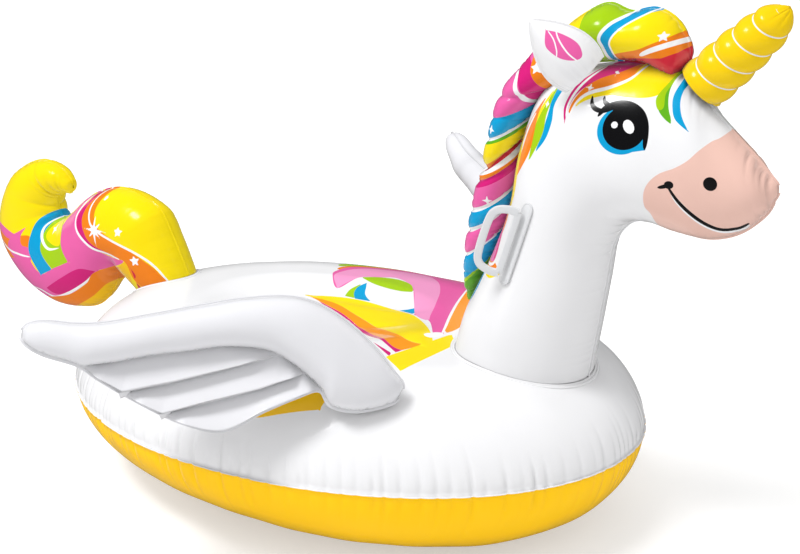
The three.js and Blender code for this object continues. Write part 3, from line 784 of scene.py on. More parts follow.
PINK_BLANKET = (
    (-105, 149), (-152, 195), (-161, 225), (-150, 268), (-103, 303), (-36, 338), (60, 352),
    (140, 330), (178, 262), (221, 142), (250, 67), (274, -1), (288, -24), (274, -39), (212, 44),
    (152, 82), (152, 82), (83, 186), (83, 186), (41, 231), (-4, 252), (-39, 236), (-81, 210),
)
SADDLE = (
    fill(LIME, (-178, 262), (-190, 300), (-130, 345), (-20, 378), (110, 378), (60, 352),
         (-36, 348), (-120, 310)),
    fill(ORANGE, (-160, 235), (-168, 262), (-125, 312), (-36, 352), (60, 366), (150, 345),
         (190, 262), (235, 142), (262, 67), (288, -8), (270, 40), (178, 262), (60, 345), (-100, 296)),
    fill(PINK, *PINK_BLANKET),
    fill(LIGHT_PINK, (-105, 149), (-105, 149), (-143, 188), (-146, 222), (-128, 262), (-83, 297),
         (23, 322), (85, 287), (132, 223), (171, 139), (194, 79), (212, 44), (212, 44), (152, 84),
         (83, 189), (41, 231), (-4, 250), (-39, 238), (-81, 210)),
    fill(LIME, (-79, 211), (-79, 211), (-52, 230), (-15, 242), (20, 240), (55, 222), (83, 184),
         (83, 184), (56, 180), (9, 185), (-39, 195)),
    fill(LIME, (-60, 184), (-60, 184), (-73, 156), (-69, 128), (-69, 128), (-40, 128), (-52, 148)),
    fill(BLUE, (-50, 192), (-50, 192), (-61, 169), (-55, 146), (-37, 124), (-37, 124), (6, 125),
         (6, 125), (-26, 150), (-40, 174)),
    cut(BLUE, (97, 105), (129, 117), (151, 83)),
    fill(LEMON, (-165, 90), (-165, 90), (-110, 112), (-27, 122), (69, 108), (153, 76), (228, 8),
         (290, -70), (284, -97), (284, -97), (235, -87), (128, -14), (26, 42), (-68, 83)),
    fill(AMBER, (-150, 90), (-150, 90), (-68, 84), (26, 42), (128, -14), (235, -87), (284, -97),
         (284, -97), (265, -145), (265, -145), (224, -128), (96, -27), (-18, 44), (-117, 82)),
    fill(MAGENTA, (-117, 82), (-117, 82), (-18, 44), (96, -27), (224, -128), (265, -145),
         (265, -145), (261, -162), (261, -162), (156, -88), (23, 14), (-99, 74)),
    cut(MAGENTA, (188, -136), (254, -168), (262, -186)),
    fill(AMBER, (178, 268), (178, 268), (207, 174), (240, 84), (276, 2), (290, -6), (292, 47),
         (262, 142), (205, 268), (205, 268)),
    line(PURE_WHITE, 6, 0.3, (176, 275), (207, 174), (240, 84), (268, 16), (280, -16)),
    fill(PURE_WHITE, *oval(272, -36, 22, 14, 60)),
    cut(LEMON, (257, -192), (300, -12), (338, -60), (320, -236)),
    fill(SUN_YELLOW, (117, -442), (117, -442), (146, -404), (185, -350), (215, -325), (238, -345),
         (241, -386), (241, -386), (208, -402), (175, -419), (144, -434)),
)

white_vinyl = plain_vinyl("white_vinyl", WHITE)
deck_vinyl = vinyl("printed_deck_vinyl", lambda nodes: printed(nodes, WHITE, SADDLE))
# The bottom film has a painted glow: it emits its own yellow, painted light that brightens its shaded
# underside.
yellow_vinyl = plain_vinyl("yellow_vinyl", SUN_YELLOW, glow=0.2)


BODY_VALVE_SPREAD, BODY_VALVE_HOLE = 60 * MM, 25 * MM


def build_body():
    grid, up = body_sheet(1, RIM_WIDTH, 42, 56, seed=21)
    grid, hole = seat_valve(grid, "main_valve", BODY_VALVE_SPREAD, BODY_VALVE_HOLE)
    settle = beyond_weld(2, 1, SEAM_HEIGHT)
    points, faces = shell(grid, up, wrap=True, capped=True, settle=settle, hole=hole)
    top = piece("body_top_film", points, faces, "root", deck_vinyl,
                "body_top_sheet")
    print_on(top, SADDLE, (0, 1))
    angle = np.linspace(0, 2 * np.pi, BODY_COLUMNS, endpoint=False)
    width = KEEL_WIDTH - KEEL_RAKE * np.cos(angle)[None, :]
    grid, down = body_sheet(-1, width, 40, 10, seed=31)
    settle = beyond_weld(2, -1, SEAM_HEIGHT)
    points, faces = shell(grid, down, wrap=True, capped=True, settle=settle)
    piece("body_bottom_film", points, faces, "root", yellow_vinyl,
          "body_bottom_sheet")


# ---- Two-panel tubes: neck and head, mane, forelock, tail -----------------------------------


def tube_grid(stations, side, rows, cols):
    """Grid of one panel: rows along the tube, columns from the front seam to the back."""
    table = np.array(stations, float) * MM
    places = even_places(lambda t: spline((table[:, :2] + table[:, 2:4]) / 2, t), rows)
    front, back = spline(table[:, :2], places), spline(table[:, 2:4], places)
    half = spline(table[:, 4:], places)
    turn = np.linspace(0, np.pi, cols)[None, :, None]
    share = (1 - np.cos(turn)) / 2
    flat = front[:, None, :] + (back - front)[:, None, :] * share
    across = side * (HALF_GAP + half[:, None, :] * np.sin(turn))
    return np.concatenate([flat[..., :1], across, flat[..., 1:]], -1), places


def rest_on_body(grid, places, blend_end=0.12, lift=2 * MM):
    """Bends the foot of a tube to lie on the body's top sheet."""
    foot = on_top(grid[0, :, 0], grid[0, :, 1], lift)
    change = (foot - grid[0, :, 2])[None, :]
    grid[..., 2] += change * np.clip(1 - places / blend_end, 0, 1)[:, None]


def gather(grid, side, front, back, swell=0.8 * MM):
    """Presses the seam creases of both edges into a panel. front and back are
    (pitch, reach, depth, strength along the rows, seed)."""
    normal = facing(grid, np.array([0, side, 0]))
    across = lengths(grid, axis=1)
    shift = np.zeros(across.shape)
    for edge, distance, settings in ((0, across, front), (-1, across[:, -1:] - across, back)):
        pitch, reach, depth, strength, seed = settings
        along = lengths(grid[:, edge])
        pressed = creases(along, distance, pitch, reach, depth, strength, seed)
        puffed = swell * np.exp(-((distance / reach) ** 2)) * distance / (distance + 3 * MM)
        shift += puffed * (1 if strength is None else strength[:, None]) - pressed
    return grid + normal * shift[..., None]


TUBE_VALVE_SPREAD, PINCH_HOLE = 26 * MM, 10 * MM


def tube_piece(name, node, grid, side, material, valve=None):
    """One panel of a tube as a piece. A valve goes through the left panel only."""
    hole = None
    if valve and side > 0:
        grid, hole = seat_valve(grid, valve, TUBE_VALVE_SPREAD, PINCH_HOLE)
    points, faces = shell(grid, np.array([0, side, 0]), settle=beyond_weld(1, side), hole=hole)
    return piece(name, points, faces, "root", material, node)


def bump_at(grid, x, z, radius, depth, normal, stretch=1.0, turn=0.0):
    """Moves a soft oval patch of a grid along its normals. Lengths are in mm."""
    c, s = math.cos(math.radians(turn)), math.sin(math.radians(turn))
    dx, dz = grid[..., 0] / MM - x, grid[..., 2] / MM - z
    a, b = (dx * c + dz * s) / stretch, -dx * s + dz * c
    return grid + normal * (depth * MM * np.exp(-(a * a + b * b) / radius**2))[..., None]


EYE_X, EYE_Z = 681, 831
FACE = (
    # muzzle
    fill(MUZZLE, (850, 862), (833, 827), (820, 818), (806, 804), (792, 788), (772, 774), (747, 762),
         (730, 745), (722, 725), (722, 700), (731, 685), (745, 640), (800, 600), (900, 620),
         (960, 700), (960, 800), (900, 860)),
    # printed forelock
    fill(MAGENTA, (665, 942), (620, 930), (590, 911), (571, 889), (563, 862), (565, 847), (571, 830),
         (571, 830), (573, 862), (584, 884), (608, 903), (640, 915), (690, 942)),
    fill(ORANGE, (690, 942), (650, 921), (618, 909), (598, 897), (584, 882), (575, 862), (576, 848),
         (592, 872), (617, 889), (655, 902), (674, 918), (705, 942)),
    fill(LEMON, (742, 942), (738, 908), (730, 892), (710, 884), (676, 882), (641, 883), (607, 874),
         (586, 860), (577, 838), (577, 838), (588, 868), (604, 883), (637, 895), (669, 909),
         (684, 942)),
    line(PURE_WHITE, 5, 0.5, (612, 925), (592, 906), (578, 886), (570, 862), (571, 842)),
    line(PURE_WHITE, 6, 0.5, (690, 940), (672, 913), (640, 896), (604, 884), (586, 869), (577, 846)),
    fill(GREEN, (748, 942), (739, 911), (727, 893), (724, 880), (733, 864), (745, 852), (758, 844),
         (758, 844), (749, 869), (743, 892), (747, 915), (754, 942)),
    fill(LIME, (748, 942), (736, 911), (727, 893), (724, 880), (731, 866), (739, 870), (736, 892),
         (744, 915), (751, 942)),
    fill(BLUE, (760, 942), (752, 905), (749, 886), (753, 869), (762, 852), (788, 833), (788, 833),
         (772, 856), (763, 879), (762, 901), (768, 925)),
    line(PURE_WHITE, 5, 0.5, (752, 940), (744, 911), (743, 892), (750, 868), (762, 849), (783, 835)),
    white_star(602, 892, 10, 4, 0.25, 90),
    white_star(640, 918, 7, 4, 0.3, 80),
    # printed mane beside the rope
    fill(BLUE, (545, 905), (530, 878), (532, 851), (530, 829), (524, 798), (511, 768), (511, 768),
         (536, 800), (544, 831), (541, 859), (550, 890)),
    fill(LIME, (535, 890), (518, 851), (505, 825), (505, 803), (501, 754), (501, 754), (520, 788),
         (529, 814), (529, 842)),
    line(LEMON, 7, 0.4, (528, 880), (512, 845), (500, 810), (498, 770)),
    fill(ORANGE, (515, 868), (488, 826), (470, 796), (458, 760), (464, 712), (464, 712), (489, 750),
         (502, 776), (506, 800), (508, 840)),
    line(PURE_WHITE, 6, 0.5, (500, 840), (484, 808), (474, 775), (466, 738)),
    fill(LEMON, (468, 800), (448, 770), (440, 700), (436, 655), (452, 645), (452, 645), (468, 690),
         (472, 735), (474, 770)),
    fill(ORANGE, (440, 740), (430, 690), (420, 640), (438, 598), (438, 598), (452, 640), (448, 690)),
    fill(PINK, (430, 680), (416, 630), (404, 588), (408, 558), (424, 550), (438, 566), (442, 600),
         (438, 640)),
    fill(MAGENTA, (430, 560), (438, 566), (442, 600), (438, 640), (437, 600)),
    line(LIGHT_BLUE, 11, 0.5, (418, 660), (404, 610), (393, 570), (390, 535)),
    fill(BLUE, (398, 560), (380, 520), (368, 486), (364, 450), (364, 450), (384, 478), (398, 508),
         (406, 545)),
    fill(ORANGE, (402, 550), (420, 552), (440, 556), (462, 543), (462, 543), (434, 532), (410, 530)),
    fill(LEMON, (404, 538), (425, 542), (462, 542), (462, 542), (432, 526), (412, 526)),
    line(PURE_WHITE, 5, 0.3, (400, 548), (415, 545), (432, 552), (440, 562)),
    white_star(524, 858, 8, 4, 0.3, 90),
    # eye
    fill(BLUE, *oval(EYE_X - 4, EYE_Z - 2, 43, 40)),
    cut(BLUE, (690, 793), (722, 800), (722, 812), (700, 830)),
    fill(BLACK, *oval(EYE_X, EYE_Z + 2, 38, 36)),
    line(BLACK, 13, 0.35, (632, 850), (641, 862), (660, 870), (682, 870), (702, 861), (714, 845),
         (719, 824), (720, 802)),
    fill(BLACK, (652, 864), (672, 874), (695, 866), (712, 848), (719, 828), (700, 830), (670, 850)),
    line(BLACK, 8, 0.5, (612, 880), (615, 868), (624, 860), (640, 858), (662, 866)),
    line(BLACK, 8, 0.5, (634, 881), (637, 873), (648, 867), (665, 867), (684, 868)),
    fill(PURE_WHITE, *oval(663, 837, 6, 5.5)),
    fill(PURE_WHITE, *oval(688, 836, 12.5, 8.5, -50)),
    # nostril and mouth
    fill(BLACK, *oval(830, 751, 12, 10.5, -60)),
    line(PURE_WHITE, 10, 0.3, (770, 728), (779, 715), (798, 694), (822, 675), (847, 665), (872, 669),
         (884, 676)),
    line(BLACK, 7, 0.3, (762, 742), (777, 719), (797, 697), (821, 678), (846, 668), (872, 672),
         (886, 681)),
    fill(BLACK, *oval(764, 744, 8, 7)),
    line(BLACK, 7, 0.5, (746, 738), (757, 741), (770, 748)),
)
head_vinyl = vinyl("printed_head_vinyl", lambda nodes: printed(nodes, WHITE, FACE))


# Soft hollows and bulges of the head: x, z, radius in mm; depth in mm; stretch; turn.
HEAD_BUMPS = (
    (740, 880, 50, -2.5, 1.0, 0),  # eye socket
    (660, 720, 90, 3.0, 1.4, -40),  # cheek
    (770, 760, 30, -2.0, 2.0, -60),  # beside the nostril
)
# Wrinkles that run down from the foot of the horn: x and depth in mm.
BROW_WRINKLES = ((742, 4), (775, 3), (812, 4))
HEAD_WAVE, HEAD_WAVE_LENGTH = 1.2 * MM, 0.12
HEAD_FRONT, HEAD_BACK = (17 * MM, 46 * MM, 11 * MM), (19 * MM, 50 * MM, 11 * MM)


def build_head(side, label):
    grid, places = tube_grid(HEAD, side, 330, 112)
    rest_on_body(grid, places)
    normal = facing(grid, np.array([0, side, 0]))
    for x, z, radius, depth, stretch, turn in HEAD_BUMPS:
        grid = bump_at(grid, x, z, radius, depth, normal, stretch, turn)
    wave = HEAD_WAVE * ripple(grid[..., 0], grid[..., 2], HEAD_WAVE_LENGTH, 41)
    grid = grid + normal * wave[..., None]
    snout = smooth((places - 0.84) / 0.1)
    throat = np.exp(-(((places - 0.33) / 0.07) ** 2))
    brow = np.exp(-(((places - 0.72) / 0.05) ** 2))
    front = (*HEAD_FRONT, 0.08 + 0.9 * snout + 0.35 * throat, 51)
    grid = gather(grid, side, front, (*HEAD_BACK, 0.08 + 0.9 * snout + 0.3 * brow, 52))
    for x, depth in BROW_WRINKLES:
        grid = bump_at(grid, x, 895, 12, -depth, normal, stretch=3.0, turn=-72)
    grid = weld_lips(grid, HEAD_LIP, 1, TUBE_LIP_NEAR)
    made = tube_piece(f"head_{label}_film", f"head_{label}_panel", grid, side,
                      head_vinyl, "head_valve")
    print_on(made, FACE, (0, 2))


# Bands of print wind round the rope: height in mm of each band's top, and its colour.
MANE_BANDS = (
    (488, GREEN), (497, LIME), (550, BLUE), (556, PURE_WHITE), (600, PINK), (607, PURE_WHITE),
    (640, BLUE), (648, PURE_WHITE), (690, PINK), (704, MAGENTA), (714, ORANGE), (722, PURE_WHITE),
    (729, RED), (737, ORANGE), (775, LEMON), (781, GREEN), (787, PURE_WHITE), (823, BLUE),
    (1200, PINK),
)
# The creases between the rope's lobes: height in mm, half-width in mm, depth in mm.
MANE_PINCHES = (
    (862, 7, 7), (823, 5, 4), (785, 6, 6), (731, 10, 16), (703, 6, 6), (645, 7, 6), (603, 7, 8),
    (553, 7, 6),
)
# How much higher a band runs at the rope's front seam, and how far its middle sags, in mm.
MANE_WIND, MANE_SAG = 52, 18
MANE_PRINT = (
    fill(MAGENTA, (440, 950), (481, 926), (485, 906), (504, 881), (529, 876), (545, 862), (513, 850),
         (487, 851), (469, 870), (456, 902), (430, 925)),
    line(PURE_WHITE, 9, 0.35, (440, 930), (454, 902), (457, 882), (465, 865), (483, 852), (513, 850),
         (530, 853)),
    fill(ORANGE, (465, 1000), (480, 945), (481, 926), (485, 906), (504, 881), (529, 875), (556, 895),
         (600, 930), (600, 1000)),
    line(PURE_WHITE, 9, 1.2, (500, 930), (515, 908), (528, 890), (534, 880)),
    white_star(494, 918, 13, 5, 0.45, 100),
    white_star(487, 946, 8, 5, 0.45, 80),
    white_star(408, 800, 11, 4, 0.3, 80),
    white_star(398, 662, 11, 4, 0.3, 90),
)
FORELOCK_PRINT = (
    cut(ORANGE, (480, 880), (627, 940), (690, 946), (721, 948), (745, 958), (790, 1000), (790, 1060),
        (480, 1060)),
    fill(LEMON, (480, 905), (480, 905), (629, 948), (678, 960), (702, 970), (731, 984), (748, 996),
         (800, 1030), (800, 1080), (470, 1080)),
    line(PURE_WHITE, 9, 0.25, (684, 951), (703, 960), (732, 971), (763, 982), (790, 992)),
    cut(LIME, (604, 880), (622, 935), (612, 977), (627, 1000), (650, 1019), (680, 1060), (540, 1060),
        (571, 1014), (574, 985), (590, 900)),
    fill(BLUE, (620, 900), (619, 952), (613, 977), (628, 1000), (651, 1018), (680, 1050), (680, 1050),
         (735, 1050), (735, 1050), (704, 1026), (681, 1017), (648, 995), (631, 972), (633, 950),
         (637, 900)),
    line(PURE_WHITE, 6, 0.1, (622, 880), (620, 952), (613, 977), (628, 1000), (651, 1018), (685, 1055)),
    line(PURE_WHITE, 3, 0.1, (640, 880), (634, 950), (632, 972), (649, 995), (682, 1017), (735, 1050)),
    white_star(722, 984, 10, 5, 0.45, 95),
)


MANE_LOW, MANE_HIGH = 400, 1200
MANE_FRONT, MANE_BACK, MANE_SWELL = (12 * MM, 40 * MM, 5 * MM), (13 * MM, 34 * MM, 5 * MM), 4 * MM


def mane_colour(nodes):
    span = MANE_HIGH - MANE_LOW
    bands = [((top - MANE_LOW) / span, colour) for top, colour in MANE_BANDS]
    return printed(nodes, banded(nodes, "band", bands), MANE_PRINT)


mane_vinyl = vinyl("printed_mane_vinyl", mane_colour)
forelock_vinyl = vinyl("printed_forelock_vinyl", lambda nodes: printed(nodes, RED, FORELOCK_PRINT))


def build_mane(side, label):
    grid, places = tube_grid(MANE, side, 240, 64)
    normal = facing(grid, np.array([0, side, 0]))
    around = np.linspace(0, 1, grid.shape[1])[None, :]
    height = ((grid[:, 0, 2] + grid[:, -1, 2]) / 2 / MM)[:, None]
    winding = height + MANE_WIND * (around - 0.5) + MANE_SAG * (np.sin(np.pi * around) - 1)
    ends = np.sin(np.pi * np.clip(places[:, None], 0.01, 0.99)) ** 0.5
    swell = MANE_SWELL * np.ones_like(winding)
    for place, width, depth in MANE_PINCHES:
        swell -= depth * MM * np.exp(-np.abs((winding - place) / width) ** 1.4)
    grid = grid + normal * (swell * ends)[..., None]
    grid = gather(grid, side, (*MANE_FRONT, None, 61), (*MANE_BACK, None, 62))
    grid = weld_lips(grid, TUBE_LIP, 1, TUBE_LIP_NEAR)
    padded = np.pad((winding - MANE_LOW) / (MANE_HIGH - MANE_LOW), ((0, 0), (3, 3)), mode="edge")
    made = tube_piece(f"mane_{label}_film", f"mane_{label}_panel", grid, side,
                      mane_vinyl)
    set_attribute(made, "band", padded)
    print_on(made, MANE_PRINT, (0, 2))


FORELOCK_FRONT, FORELOCK_BACK = (13 * MM, 34 * MM, 7 * MM), (16 * MM, 30 * MM, 3 * MM)


def build_forelock(side, label):
    grid, _ = tube_grid(FORELOCK, side, 150, 72)
    grid = gather(grid, side, (*FORELOCK_FRONT, None, 71), (*FORELOCK_BACK, None, 72))
    grid = weld_lips(grid, TUBE_LIP, 1, TUBE_LIP_NEAR)
    made = tube_piece(f"forelock_{label}_film", f"forelock_{label}_panel", grid, side,
                      forelock_vinyl)
    print_on(made, FORELOCK_PRINT, (0, 2))


TAIL_PRINT = (
    fill(PINK, (-700, 560), (-748, 500), (-800, 450), (-795, 400), (-765, 365), (-822, 335),
         (-868, 314), (-905, 345), (-912, 400), (-950, 400), (-1080, 420), (-1100, 300), (-1000, 230),
         (-900, 200), (-864, 262), (-792, 315), (-728, 349), (-689, 346), (-594, 379), (-568, 396),
         (-626, 396), (-674, 412), (-712, 445), (-725, 490), (-690, 560)),
    fill(ORANGE, (-680, 560), (-708, 520), (-728, 484), (-718, 450), (-694, 424), (-664, 405),
         (-620, 398), (-577, 396), (-577, 420), (-620, 450), (-660, 475), (-670, 500), (-645, 560)),
    fill(PINK, (-1000, 300), (-905, 290), (-864, 290), (-792, 330), (-728, 352), (-680, 348),
         (-722, 308), (-785, 268), (-850, 246), (-900, 236), (-1000, 236)),
    fill(MAGENTA, (-864, 274), (-864, 274), (-792, 316), (-728, 349), (-686, 346), (-686, 346),
         (-724, 312), (-785, 276), (-835, 262)),
    fill(MAGENTA, (-680, 560), (-708, 520), (-728, 484), (-718, 450), (-694, 424), (-664, 405),
         (-620, 398), (-620, 398), (-650, 416), (-682, 438), (-702, 466), (-704, 500), (-670, 560)),
    fill(ORANGE, (-1110, 430), (-1000, 388), (-940, 402), (-907, 400), (-905, 352), (-945, 346),
         (-1010, 330), (-1110, 330)),
    fill(PINK, (-975, 396), (-950, 410), (-922, 426), (-922, 426), (-940, 400), (-936, 378),
         (-905, 372), (-905, 340), (-960, 330), (-1000, 360)),
    fill(BLUE, (-860, 470), (-893, 446), (-909, 402), (-907, 360), (-870, 310), (-870, 310),
         (-822, 333), (-822, 333), (-862, 366), (-868, 398), (-850, 440), (-840, 470)),
    fill(LIME, (-840, 470), (-862, 440), (-871, 402), (-864, 368), (-822, 335), (-822, 335),
         (-758, 363), (-758, 363), (-785, 397), (-798, 436), (-820, 470)),
    fill(LEMON, (-830, 460), (-858, 424), (-854, 404), (-820, 394), (-793, 400), (-796, 424),
         (-812, 452)),
    line(PURE_WHITE, 8, 0.7, (-850, 455), (-874, 430), (-868, 400), (-838, 382), (-795, 392)),
    line(PURE_WHITE, 6, 0.4, (-1100, 410), (-1010, 360), (-950, 352), (-905, 352)),
    line(PURE_WHITE, 7, 0.5, (-960, 258), (-900, 262), (-850, 250), (-788, 272), (-728, 307),
         (-687, 343)),
    fill(ORANGE, (-900, 236), (-860, 248), (-784, 270), (-724, 306), (-685, 345), (-597, 373),
         (-597, 371), (-650, 320), (-700, 285), (-740, 252), (-800, 215), (-880, 195)),
    fill(SUN_YELLOW, (-560, 392), (-600, 368), (-684, 306), (-727, 268), (-790, 232), (-850, 205),
         (-780, 190), (-640, 240), (-560, 340)),
    fill(ORANGE, (-620, 575), (-650, 545), (-662, 505), (-652, 476), (-628, 458), (-578, 438),
         (-539, 420), (-505, 400), (-477, 378), (-440, 330), (-500, 330), (-545, 350), (-562, 393),
         (-621, 404), (-662, 418), (-690, 445), (-698, 485), (-690, 520), (-660, 575)),
    fill(RED, (-562, 396), (-545, 372), (-534, 320), (-500, 320), (-540, 345), (-535, 365)),
    line(PURE_WHITE, 7, 0.3, (-690, 565), (-722, 508), (-735, 478), (-724, 452), (-694, 427),
         (-664, 409), (-623, 402), (-581, 397)),
    line(PURE_WHITE, 6, 0.3, (-655, 565), (-680, 530), (-683, 498), (-668, 470), (-640, 455),
         (-602, 443), (-549, 427), (-508, 408), (-480, 386), (-450, 350)),
    white_star(-655, 459, 31, 8, 0.3, 90, 1.4),
    white_star(-577, 465, 15, 5),
    white_star(-645, 533, 8, 5, 0.42, 80),
    white_star(-532, 400, 16, 5, 0.42, 100),
    white_star(-838, 428, 13, 4, 0.3, 80),
)
tail_vinyl = vinyl("printed_tail_vinyl", lambda nodes: printed(nodes, LEMON, TAIL_PRINT))


TAIL_FRONT, TAIL_BACK = (13 * MM, 95 * MM, 8 * MM), (14 * MM, 28 * MM, 4.5 * MM)
TAIL_PINCH, TAIL_PINCH_PLACE, TAIL_PINCH_WIDTH = 5 * MM, 0.33, 0.02


def build_tail(side, label):
    grid, places = tube_grid(TAIL, side, 330, 84)
    rest_on_body(grid, places)
    curl = smooth((places - 0.5) / 0.12) * smooth((1.02 - places) / 0.08)
    arch = np.exp(-(((places - 0.22) / 0.1) ** 2))
    front = (*TAIL_FRONT, 0.15 + 1.0 * curl, 81)
    grid = gather(grid, side, front, (*TAIL_BACK, 0.5 + 0.3 * curl + 0.6 * arch, 82))
    normal = facing(grid, np.array([0, side, 0]))
    pinch = np.exp(-(((places - TAIL_PINCH_PLACE) / TAIL_PINCH_WIDTH) ** 2))[:, None]
    level = np.linspace(0, 1, grid.shape[1])[None, :]
    grid = grid - normal * (TAIL_PINCH * pinch * level**2)[..., None]
    grid = weld_lips(grid, TUBE_LIP, 1, TUBE_LIP_NEAR)
    made = tube_piece(f"tail_{label}_film", f"tail_{label}_panel", grid, side,
                      tail_vinyl, "tail_valve")
    print_on(made, TAIL_PRINT, (0, 2))


# ---- Weld collars -----------------------------------------------------------------------


BEAD_RISE = 2.2 * MM


def build_collar(name, node, stations, skirt, width):
    """A double weld bead round the foot of a tube, lying on the body."""
    foot = stations[0]
    middle = (foot[0] + foot[2]) / 2 * MM
    reach, half = abs(foot[0] - foot[2]) / 2 * MM, foot[4] * MM
    angle = np.linspace(0, 2 * np.pi, 300, endpoint=False)[None, :]
    turn = np.linspace(0, 1, 22)[:, None]
    out = skirt + width * turn
    height = FILM + BEAD_RISE * np.abs(np.sin(2 * np.pi * turn)) ** 0.7
    x = middle + (reach + out) * np.cos(angle)
    y = (half + out) * np.sin(angle)
    grid = np.stack([x, y, on_top(x, y, height)], -1)
    points, faces = shell(grid, np.array([0, 0, 1]), wrap=True)
    piece(name, points, faces, "root", white_vinyl, node)


# ---- Horn ---------------------------------------------------------------------------------

HORN_PRINT = (("line", PURE_WHITE),)
horn_vinyl = vinyl("horn_vinyl", lambda nodes: printed(nodes, HORN_YELLOW, HORN_PRINT))


HORN_ROWS, HORN_COLUMNS = 150, 110
HORN_SEAM_GAP = 0.004  # radians left open for the seam
HORN_WIND = 0.35  # how far round the horn a bulge climbs, as a share of its height
HORN_SEAM_TURN = 120  # degrees from the nose to the seam
HORN_SEAM = (9 * MM, 16 * MM, 2.5 * MM)
HORN_TIP = (12 * MM, 20 * MM, 2.5 * MM)
TIP_ROUND = 0.03  # stands for the tip's circumference
STRIPE_HALF, STRIPE_START, STRIPE_END = 1.2 * MM, 0.08, 0.93


def build_horn():
    """A rolled sheet with a spiral of bulges and a white line in each valley."""
    t = np.linspace(0, 1, HORN_ROWS)[:, None]
    angle = np.linspace(HORN_SEAM_GAP, 2 * np.pi - HORN_SEAM_GAP, HORN_COLUMNS)[None, :]
    nose = np.clip((t - 1 + HORN_NOSE) / HORN_NOSE, 0, 0.995)
    base = HORN_RADIUS * (1 - HORN_TAPER * t**2.5) * np.sqrt(1 - nose**2)
    phase = t * HORN_BULGES + HORN_WIND * np.sin(angle - 0.6)
    bulge = HORN_BULGE * (np.abs(np.sin(np.pi * phase)) ** 0.7 - 0.15)
    radius = np.maximum(base + bulge * (1 - nose), 1.2 * MM)
    height = t * HORN_LENGTH * np.ones_like(angle)
    grid = np.stack([radius * np.cos(angle), radius * np.sin(angle), height], -1)
    outward = np.stack([np.cos(angle) + 0 * t, np.sin(angle) + 0 * t, 0 * (t + angle)], -1)
    normal = facing(grid, outward)
    around = lengths(grid, axis=1)
    from_seam = np.minimum(around, around[:, -1:] - around)
    shift = -creases(height[:, 0], from_seam, *HORN_SEAM, seed=91)
    tip = creases(angle[0] * TIP_ROUND, (HORN_LENGTH - height).T, *HORN_TIP, seed=92)
    grid = grid + normal * (shift - tip.T)[..., None]
    # the seam's lips stand out side by side, 0.5 mm apart
    front = np.stack([grid[:, 0] + [out, 0.25 * MM, 0] for out in (4 * MM, 1 * MM)], 1)
    back = front[:, ::-1] * [1, -1, 1]
    grid = np.concatenate([front, grid, back], 1)
    tilt = Matrix.Rotation(math.radians(HORN_TILT), 3, "Y")
    turn = np.array(tilt @ Matrix.Rotation(math.radians(HORN_SEAM_TURN), 3, "Z"))
    outward = np.pad(outward, ((0, 0), (2, 2), (0, 0)), "edge")
    points, faces = shell(grid @ turn.T + HORN_BASE, outward @ turn.T)
    made = piece("horn_film", points, faces, "root", horn_vinyl, "horn")
    valley = np.sin(np.pi * phase) * HORN_LENGTH / HORN_BULGES / np.pi
    offset = np.pad(valley, ((0, 0), (2, 2)), "edge")
    set_attribute(made, "offset_0", offset)
    striped = (t > STRIPE_START) & (t < STRIPE_END)
    half = np.broadcast_to(np.where(striped, STRIPE_HALF, -FAR), offset.shape)
    set_attribute(made, "half_0", half)


# ---- Ears ---------------------------------------------------------------------------------

EAR_PRINT = (
    fill(PINK, (10, 104), (10, 104), (22, 86), (31, 62), (32, 44), (24, 30), (12, 34), (-2, 52),
         (-8, 74), (-6, 88)),
    line(PURE_WHITE, 2.6, 0.2, (14, 30), (12, 52), (16, 78), (22, 92)),
    line(PURE_WHITE, 2.2, 0.2, (-6, 60), (2, 68), (10, 84), (12, 100)),
)
ear_vinyl = vinyl("ear_vinyl", lambda nodes: printed(nodes, WHITE, EAR_PRINT))


def rotation(axis, degrees):
    return np.array(Matrix.Rotation(math.radians(degrees), 3, axis))


def ear_frame(side):
    """Turn and foot of an ear; the left one mirrors the right one."""
    turn = rotation("Z", EAR_TURN) @ rotation("Y", EAR_LEAN) @ rotation("X", EAR_SPLAY)
    mirror = np.diag([1.0, -side, 1.0])
    return mirror @ turn, mirror @ np.array(EAR_FOOT)


EAR_ROWS, EAR_COLUMNS = 64, 60
EAR_FOOT_PHASE = 0.27  # where on its half wave the ear's outline starts
EAR_CUP = 0.62  # depth of the hollow as a share of the ear's half-width
EAR_EDGE = (9 * MM, 10 * MM, 1.6 * MM)
EAR_GATHER = (13 * MM, 26 * MM, 3 * MM)
EAR_LIP, EAR_FILM = 3.5 * MM, 0.6 * MM


